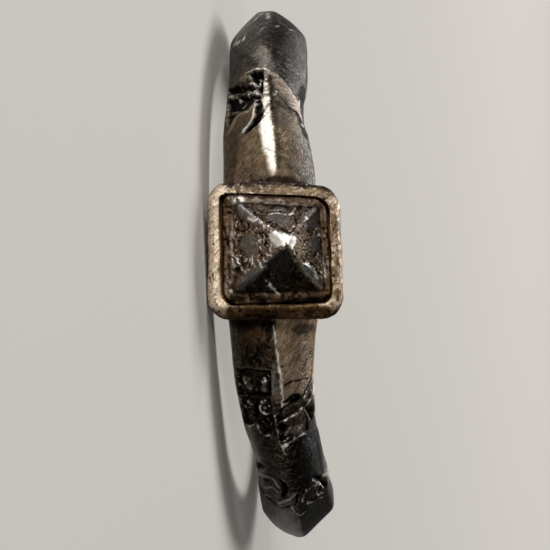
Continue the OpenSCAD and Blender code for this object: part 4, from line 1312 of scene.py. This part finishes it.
def makePyramid():
    outline = roundedOutline(recessInset(pyramid["settingGap"]), pyramid["radii"],
                             pyramid["perSide"], pyramid["perCorner"])
    tip = np.array(pyramid["point"])

    def rings(shares):
        return tip + (outline - tip)[:, None] * np.array(shares)[None, :, None]

    shares = np.linspace(0, 1, pyramid["rings"] + 1)[1:]
    flatPlaces = rings(shares)
    x, y = flatPlaces[..., 0], flatPlaces[..., 1]
    height, bright, dark, smooth, golden = shapePyramid(x, y)
    reach = pyramid["reliefReach"]
    around = [shapePyramid(x + dx, y + dy)[0]
              for dx, dy in ((reach, 0), (-reach, 0), (0, reach), (0, -reach))]
    relief = height - np.mean(around, axis=0)
    height = height - pyramid["edgeRound"] * easeIn(shares, 0.985, 1.0)[None]
    bright = np.clip(bright + 0.45 * easeIn(relief, 0.012, 0.04) * (1 - 0.7 * dark), 0, 1)
    dark = np.clip(dark + 0.6 * easeIn(-relief, 0.010, 0.04) * (1 - smooth), 0, 1)
    # the skirt down to the recess floor, and the underside
    foot = bezel["rimR"] - bezel["recessDepth"] + pyramid["seatGap"]
    rim = height[:, -1:]
    down = np.linspace(0, 1, pyramid["skirtRings"] + 1)[1:][None]
    skirt = np.repeat(outline[:, None], pyramid["skirtRings"], 1)
    under = rings(pyramid["underShares"])
    allPlaces = np.concatenate([flatPlaces, skirt, under], 1)
    allHeights = np.concatenate([height, rim + (foot - rim) * down, np.full(under.shape[:2], foot)], 1)
    rows, columns = allHeights.shape
    grid = atFront(allPlaces, allHeights).reshape(-1, 3)
    tipValues = [float(v[0]) for v in shapePyramid(tip[:1], tip[1:])]
    ends = atFront(np.array([tip, tip]), np.array([tipValues[0], foot]))
    faces = gridFaces(rows, columns, False)
    topPoint, footPoint = len(grid), len(grid) + 1
    for i in range(rows):
        nextRow = (i + 1) % rows
        faces.append((topPoint, nextRow * columns, i * columns))
        faces.append((footPoint, i * columns + columns - 1, nextRow * columns + columns - 1))
    piece = newPiece("pyramid_dark_silver", layDown(np.vstack([grid, ends])), faces)
    turnOutwards(piece)
    hidden = {"bright": 0, "dark": 0.3, "smooth": 0, "golden": 1}    # what the skirt and underside get: golden dirt, and darkening that is painted shade in the gap
    for (name, value), grown, atTip in zip(hidden.items(), (bright, dark, smooth, golden), tipValues[1:]):
        widened = np.pad(grown, ((0, 0), (0, columns - grown.shape[1])), constant_values=value)
        storeValues(piece, name, np.append(widened, [atTip, value]))
    shadeSmooth(piece, pyramid["sharpAngle"])
    return piece


pyramidPiece = makePyramid()
print("pyramid made,", len(pyramidPiece.data.polygons), "faces")


# Materials

def linear(hexColour):
    parts = [int(hexColour[i:i + 2], 16) / 255 for i in (1, 3, 5)]
    return [p / 12.92 if p <= 0.04045 else ((p + 0.055) / 1.055) ** 2.4 for p in parts] + [1]


# Adds a node with its settings. Its inputs are values or earlier nodes, in the order of the
# sockets in use or by name, and a node stands for its first output in use.
def addNode(tree, kind, settings, *ordered, **named):
    node = tree.nodes.new("ShaderNode" + kind)
    for name, value in settings.items():
        setattr(node, name, value)
    inputs = list(zip([socket for socket in node.inputs if socket.enabled], ordered))
    inputs += [(node.inputs[name.replace("_", " ")], value) for name, value in named.items()]
    for socket, value in inputs:
        if isinstance(value, bpy.types.Node):
            value = next(output for output in value.outputs if output.enabled)
        if isinstance(value, bpy.types.NodeSocket):
            tree.links.new(value, socket)
        else:
            socket.default_value = value
    return node


# Settings that many nodes share
plain, asColour, asTexture = {}, {"data_type": "RGBA"}, {"vector_type": "TEXTURE"}
plus, minus, times, larger, timesPlus, unsigned = (
    {"operation": name}
    for name in ("ADD", "SUBTRACT", "MULTIPLY", "MAXIMUM", "MULTIPLY_ADD", "ABSOLUTE"))
plusClamped, minusClamped, timesPlusClamped = (
    {**kind, "use_clamp": True} for kind in (plus, minus, timesPlus))


def newMaterial(name):
    material = bpy.data.materials.new(name)
    material.use_nodes = True
    material.node_tree.nodes.clear()
    return material, material.node_tree


# Worn cast silver: brown and black with tarnish where nothing rubs it, and pale and softly
# polished where something does, with painted highlights, glints and shade in the same colours. Its pits and
# scratches break up what it reflects.
hoopSilver = {
    "grey": "#7b7162",       # handled silver under thin tarnish
    "brown": "#886a43",      # the sulphide's brown on the facets by the bezel
    "black": "#0c0a08",      # the thickest tarnish
    "cut": "#080605",        # soot in the cuts and pits
    "dirtAndPaintedLight": "#94683a",       # golden brown dirt in the bezel's recess, also the painted shade on its lower wall and the warm tint of painted glints
    "pit": "#2e1d10",        # dirt in the finest pits
    "bright": "#f4ede2",     # rubbed metal, and the painted highlights and glints
    "cream": "#f6dfc4",      # the bezel's rubbed rim, and the painted light on its left band
    "roughness": 0.36,
    "brightRoughness": 0.32,
    "rimRoughness": 0.06,    # more than that on the bezel
    "cutRoughness": 0.35,    # and more in soot
    "mottleRoughness": 0.15,
    "scatter": 0.8,          # how much finely scratched metal scatters light like paint
    "dirtMetal": 0.3,        # how metallic the dirt and that metal are
    "bump": 0.03,            # mm, depth of the pits and scratches
    "pitDepth": 1.2,         # depth of a pit against a scratch
    "cloud": 1.1,            # mm between the clouds of brown and grey
    "mottle": 0.3,           # mm between the spots of tarnish
    "scratchWidth": 0.065,   # mm, drawn about three times as coarse as real scratches
    "scratchLength": 0.6,
    "scratchLeans": (60, 34),    # degrees from the hoop's length
    "scratchShare": 0.75,    # how much they lighten the tarnish
    "streakLean": 48,        # degrees, of the brown streaks on the rim
    "streakLength": 0.3,     # mm
    "streakWidth": 0.11,
    "grain": 0.08,           # mm between pits of the cast surface
    "fleck": 0.16,           # mm between light flecks
    "hoopFlecks": 0.10,      # how much they show on the hoop, and how much more on the bezel
    "bezelFlecks": 0.34,
    "hoopPits": 0.3,         # the same for the dirty pits
    "bezelPits": 0.2,
}


def silverMaterial():
    s = hoopSilver
    material, tree = newMaterial("silver_cast_and_worn")
    bright, dark, dirtAndPaintedLight, tarnishAndPaintedLight, onBezel = (
        addNode(tree, "Attribute", {"attribute_name": name}).outputs["Fac"]
        for name in ("bright", "dark", "dirtAndPaintedLight", "tarnishAndPaintedLight", "bezel"))
    drawn, ringPlace = (
        addNode(tree, "Attribute", {"attribute_name": name}).outputs["Vector"]
        for name in ("drawn", "ringPlace"))
    place = addNode(tree, "TexCoord", plain).outputs["Object"]
    # Columns: size in mm, detail and how bent
    cloud, mottle, grain, fleck = (
        addNode(tree, "TexNoise", plain, place, 1 / (size * mm), detail, 0.65, Distortion=bent)
        for size, detail, bent in (
            (s["cloud"], 4, 0), (s["mottle"], 4, 0.6), (s["grain"], 2, 0), (s["fleck"], 1, 0)))
    # two sets of scratches, each leaning its own way across the hoop, and the rim's streaks
    lines = []
    for lean, length, width, detail in (
            (s["scratchLeans"][0], s["scratchLength"], s["scratchWidth"], 3),
            (s["scratchLeans"][1], s["scratchLength"], s["scratchWidth"], 3),
            (s["streakLean"], s["streakLength"], s["streakWidth"], 2)):
        turned = addNode(tree, "Mapping", asTexture, drawn,
                         Rotation=(0, 0, math.radians(lean)), Scale=(length, width, 1))
        lines.append(addNode(tree, "TexNoise", plain, turned, 1, detail, 0.65))
    scratched = addNode(tree, "Math", larger, lines[0], lines[1])
    streak = lines[2]
    # the hoop is brown near the bezel and grey at its ends
    degrees = addNode(tree, "SeparateXYZ", plain, ringPlace).outputs["X"]
    fromBezel = addNode(tree, "Math", unsigned, degrees)
    lower = addNode(tree, "MapRange", plain, degrees, -10, 10, 1.0, 0.52)
    near = addNode(tree, "MapRange", plain, fromBezel, 24, 56, 0.95, 0.3)
    nearBezel = addNode(tree, "Math", times, near, lower)
    cloudy = addNode(tree, "MapRange", plain, cloud, 0.35, 0.65, -0.3, 0.3)
    brownness = addNode(tree, "Math", plusClamped, nearBezel, cloudy)
    tarnished = addNode(tree, "Mix", asColour, brownness, linear(s["grey"]), linear(s["brown"]))
    # scratches and rubbed spots show through the black
    patches = addNode(tree, "MapRange", plain, cloud, 0.45, 0.6, 0.1, 1)
    fine = addNode(tree, "MapRange", plain, scratched, 0.53, 0.70, 0, 1)
    scratches = addNode(tree, "Math", times, fine, patches)
    scratchLight = addNode(tree, "MapRange", plain, scratches, 0, 1, 0, s["scratchShare"])
    mottled = addNode(tree, "MapRange", plain, mottle, 0.35, 0.68, 0.25, -0.25)
    spotted = addNode(tree, "Math", plus, tarnishAndPaintedLight, mottled)
    blackness = addNode(tree, "Math", minusClamped, spotted, scratchLight)
    blackened = addNode(tree, "Mix", asColour, blackness, tarnished, linear(s["black"]))
    deepest = addNode(tree, "MapRange", plain, scratches, 0.2, 1, 0, s["scratchShare"])
    cleaner = addNode(tree, "MapRange", plain, tarnishAndPaintedLight, 0, 0.8, 0.8, 0.05)
    through = addNode(tree, "Math", times, deepest, cleaner)
    lightened = addNode(tree, "Mix", asColour, through, blackened, linear(s["bright"]))
    rubbed = addNode(tree, "Mix", asColour, onBezel, linear(s["bright"]), linear(s["cream"]))
    # diagonal streaks of brown stay between the rubbed places of the rim
    brownStreak = addNode(tree, "MapRange", plain, streak, 0.48, 0.62, 0, 0.5)
    streaks = addNode(tree, "Math", times, brownStreak, onBezel)
    fleckShare = addNode(tree, "Math", timesPlus, onBezel, s["bezelFlecks"], s["hoopFlecks"])
    fleckSpots = addNode(tree, "MapRange", plain, fleck, 0.57, 0.64, 0, 1)
    flecks = addNode(tree, "Math", times, fleckSpots, fleckShare)
    flecked = addNode(tree, "Math", plus, bright, flecks)
    brightness = addNode(tree, "Math", minusClamped, flecked, streaks)
    wornAndHighlit = addNode(tree, "Mix", asColour, brightness, lightened, rubbed)
    # dirt in the finest pits, in the recess and in the cuts, with the painted shade and painted glints that
    # share these mixes
    pitShare = addNode(tree, "Math", timesPlus, onBezel, s["bezelPits"], s["hoopPits"])
    pitted = addNode(tree, "MapRange", plain, grain, 0.54, 0.61, 0, 1)
    speck = addNode(tree, "Math", times, pitted, pitShare)
    speckled = addNode(tree, "Mix", asColour, speck, wornAndHighlit, linear(s["pit"]))
    withDirtAndPaintedLight = addNode(tree, "Mix", asColour, dirtAndPaintedLight, speckled, linear(s["dirtAndPaintedLight"]))
    colour = addNode(tree, "Mix", asColour, dark, withDirtAndPaintedLight, linear(s["cut"]))
    polished = addNode(tree, "MapRange", plain, bright, 0, 1, s["roughness"], s["brightRoughness"])
    onRim = addNode(tree, "Math", timesPlus, onBezel, s["rimRoughness"], polished)
    varied = addNode(tree, "Math", timesPlus, mottled, s["mottleRoughness"], onRim)
    roughness = addNode(tree, "Math", timesPlusClamped, dark, s["cutRoughness"], varied)
    tintedShare = addNode(tree, "Math", minusClamped, dirtAndPaintedLight, dark)
    scattering = addNode(tree, "Math", times, bright, s["scatter"])
    nonMetalShare = addNode(tree, "Math", larger, tintedShare, scattering)
    metal = addNode(tree, "MapRange", plain, nonMetalShare, 0, 1, 1.0, s["dirtMetal"])
    relief = addNode(tree, "Math", timesPlus, grain, -s["pitDepth"], scratched)
    bump = addNode(tree, "Bump", plain, Strength=1.0, Distance=s["bump"] * mm, Height=relief)
    shader = addNode(tree, "BsdfPrincipled", plain, colour, metal, roughness, Normal=bump)
    addNode(tree, "OutputMaterial", plain, shader)
    return material


# Dark cast silver: a rough, granular ground that dirt has turned golden brown, with bars
# and lozenges rubbed to a smooth blue-grey, a point painted white as a painted highlight, and painted shade
# on the faces turned from the light.
pyramidSilver = {
    "ground": "#8a7864",     # tarnished metal between the grains
    "golden": "#644524",     # dirt that has dried in the hollows
    "smooth": "#74777a",     # the bars and lozenges
    "hollow": "#0f0a06",     # soot in the deepest hollows
    "bright": "#fdf8f0",     # rubbed metal, and the painted highlights
    "roughness": 0.36,
    "smoothRoughness": 0.3,
    "dirtMetal": 0.55,       # how metallic the dirt and the rubbed metal are
    "cloud": 0.5,            # mm between the clouds of dirt
    "grain": 0.06,           # mm between the finest grains
    "bump": 0.05,            # mm, their depth
    "smoothBump": 0.3,       # share of it that is left on the smooth parts
    "scratch": (0.5, 0.06),  # mm, length and width, drawn coarse enough to show
    "scratchLean": 35,       # degrees
}


def darkSilverMaterial():
    s = pyramidSilver
    material, tree = newMaterial("silver_cast_dark")
    bright, dark, smooth, golden = (
        addNode(tree, "Attribute", {"attribute_name": name}).outputs["Fac"]
        for name in ("bright", "dark", "smooth", "golden"))
    place = addNode(tree, "TexCoord", plain).outputs["Object"]
    cloud = addNode(tree, "TexNoise", plain, place, 1 / (s["cloud"] * mm), 3, 0.6)
    grain = addNode(tree, "TexNoise", plain, place, 1 / (s["grain"] * mm), 2, 0.7)
    cloudy = addNode(tree, "MapRange", plain, cloud, 0.35, 0.65, -0.35, 0.35)
    gilded = addNode(tree, "Math", plusClamped, golden, cloudy)
    ground = addNode(tree, "Mix", asColour, gilded, linear(s["ground"]), linear(s["golden"]))
    base = addNode(tree, "Mix", asColour, smooth, ground, linear(s["smooth"]))
    # scratches over the smooth parts
    length, width = s["scratch"]
    turned = addNode(tree, "Mapping", asTexture, place, Rotation=(0, math.radians(s["scratchLean"]), 0),
                     Scale=(length * mm, width * mm, width * mm))
    lines = addNode(tree, "TexNoise", plain, turned, 1, 2, 0.6)
    fine = addNode(tree, "MapRange", plain, lines, 0.52, 0.68, 0.0, 0.5)
    scratched = addNode(tree, "Math", times, fine, smooth)
    shown = addNode(tree, "Math", larger, bright, scratched)
    wornAndHighlit = addNode(tree, "Mix", asColour, shown, base, linear(s["bright"]))
    speck = addNode(tree, "MapRange", plain, grain, 0.55, 0.7, 0.0, 0.3)
    darkened = addNode(tree, "Math", plusClamped, dark, speck)
    colour = addNode(tree, "Mix", asColour, darkened, wornAndHighlit, linear(s["hollow"]))
    rubbed = addNode(tree, "Math", larger, bright, smooth)
    roughness = addNode(tree, "MapRange", plain, rubbed, 0, 1, s["roughness"], s["smoothRoughness"])
    tintedShare = addNode(tree, "Math", larger, gilded, bright)
    nonMetalShare = addNode(tree, "Math", minusClamped, tintedShare, darkened)
    metal = addNode(tree, "MapRange", plain, nonMetalShare, 0, 1, 1.0, s["dirtMetal"])
    coarse = addNode(tree, "MapRange", plain, rubbed, 0, 1, 1.0, s["smoothBump"])
    bump = addNode(tree, "Bump", plain, Strength=coarse, Distance=s["bump"] * mm, Height=grain)
    shader = addNode(tree, "BsdfPrincipled", plain, colour, metal, roughness, Normal=bump)
    addNode(tree, "OutputMaterial", plain, shader)
    return material


hoopAndBezel.data.materials.clear()
hoopAndBezel.data.materials.append(silverMaterial())
pyramidPiece.data.materials.append(darkSilverMaterial())
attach(hoopAndBezel, "root")
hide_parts("hoop_and_bezel")
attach(pyramidPiece, "root")
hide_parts("pyramid")
print("materials made")


# Floor and light

studio = {
    "floorSize": 3.0,          # metres
    "floorColour": "#d3cec7",  # matt paper
    "floorRoughness": 0.9,
    "world": 0.06,
    "worldColour": "#f4f2ee",
    # name, place in mm, width and height in mm, watts
    "lights": [
        ("key", (-240, -80, 60), (120, 90), 0.40),
        ("overhead", (-110, -30, 300), (170, 150), 0.06),
        ("back", (-150, 380, 420), (260, 260), 2.4),
        ("front", (-110, -300, 55), (90, 70), 0.42),
        ("low", (170, -190, 130), (70, 70), 0.09),
    ],
}


def addFloor():
    low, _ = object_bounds()
    half = studio["floorSize"] / 2
    corners = [(x * half, y * half, low.z) for x, y in ((-1, -1), (1, -1), (1, 1), (-1, 1))]
    mesh = bpy.data.meshes.new("floor")
    mesh.from_pydata(corners, [], [(0, 1, 2, 3)])
    floor = bpy.data.objects.new("floor", mesh)
    bpy.context.scene.collection.objects.link(floor)
    material, tree = newMaterial("floor_matt_paper")
    shader = addNode(tree, "BsdfPrincipled", plain, linear(studio["floorColour"]),
                     Roughness=studio["floorRoughness"])
    addNode(tree, "OutputMaterial", plain, shader)
    mesh.materials.append(material)


def addLights():
    for name, place, size, watts in studio["lights"]:
        data = bpy.data.lights.new(name, "AREA")
        data.shape = "RECTANGLE"
        data.size = size[0] * mm
        data.size_y = size[1] * mm
        data.energy = watts
        light = bpy.data.objects.new(name, data)
        light.location = Vector(place) * mm
        light.rotation_mode = "QUATERNION"
        light.rotation_quaternion = (-light.location).to_track_quat("-Z", "Y")
        bpy.context.scene.collection.objects.link(light)
    world = bpy.data.worlds.new("studio")
    world.use_nodes = True
    world.node_tree.nodes.clear()
    glow = addNode(world.node_tree, "Background", plain, linear(studio["worldColour"]), studio["world"])
    addNode(world.node_tree, "OutputWorld", plain, glow)
    bpy.context.scene.world = world
    bpy.context.scene.view_settings.view_transform = "Standard"    # keeps the contrast of the photo


addFloor()
addLights()
print("floor and lights placed")
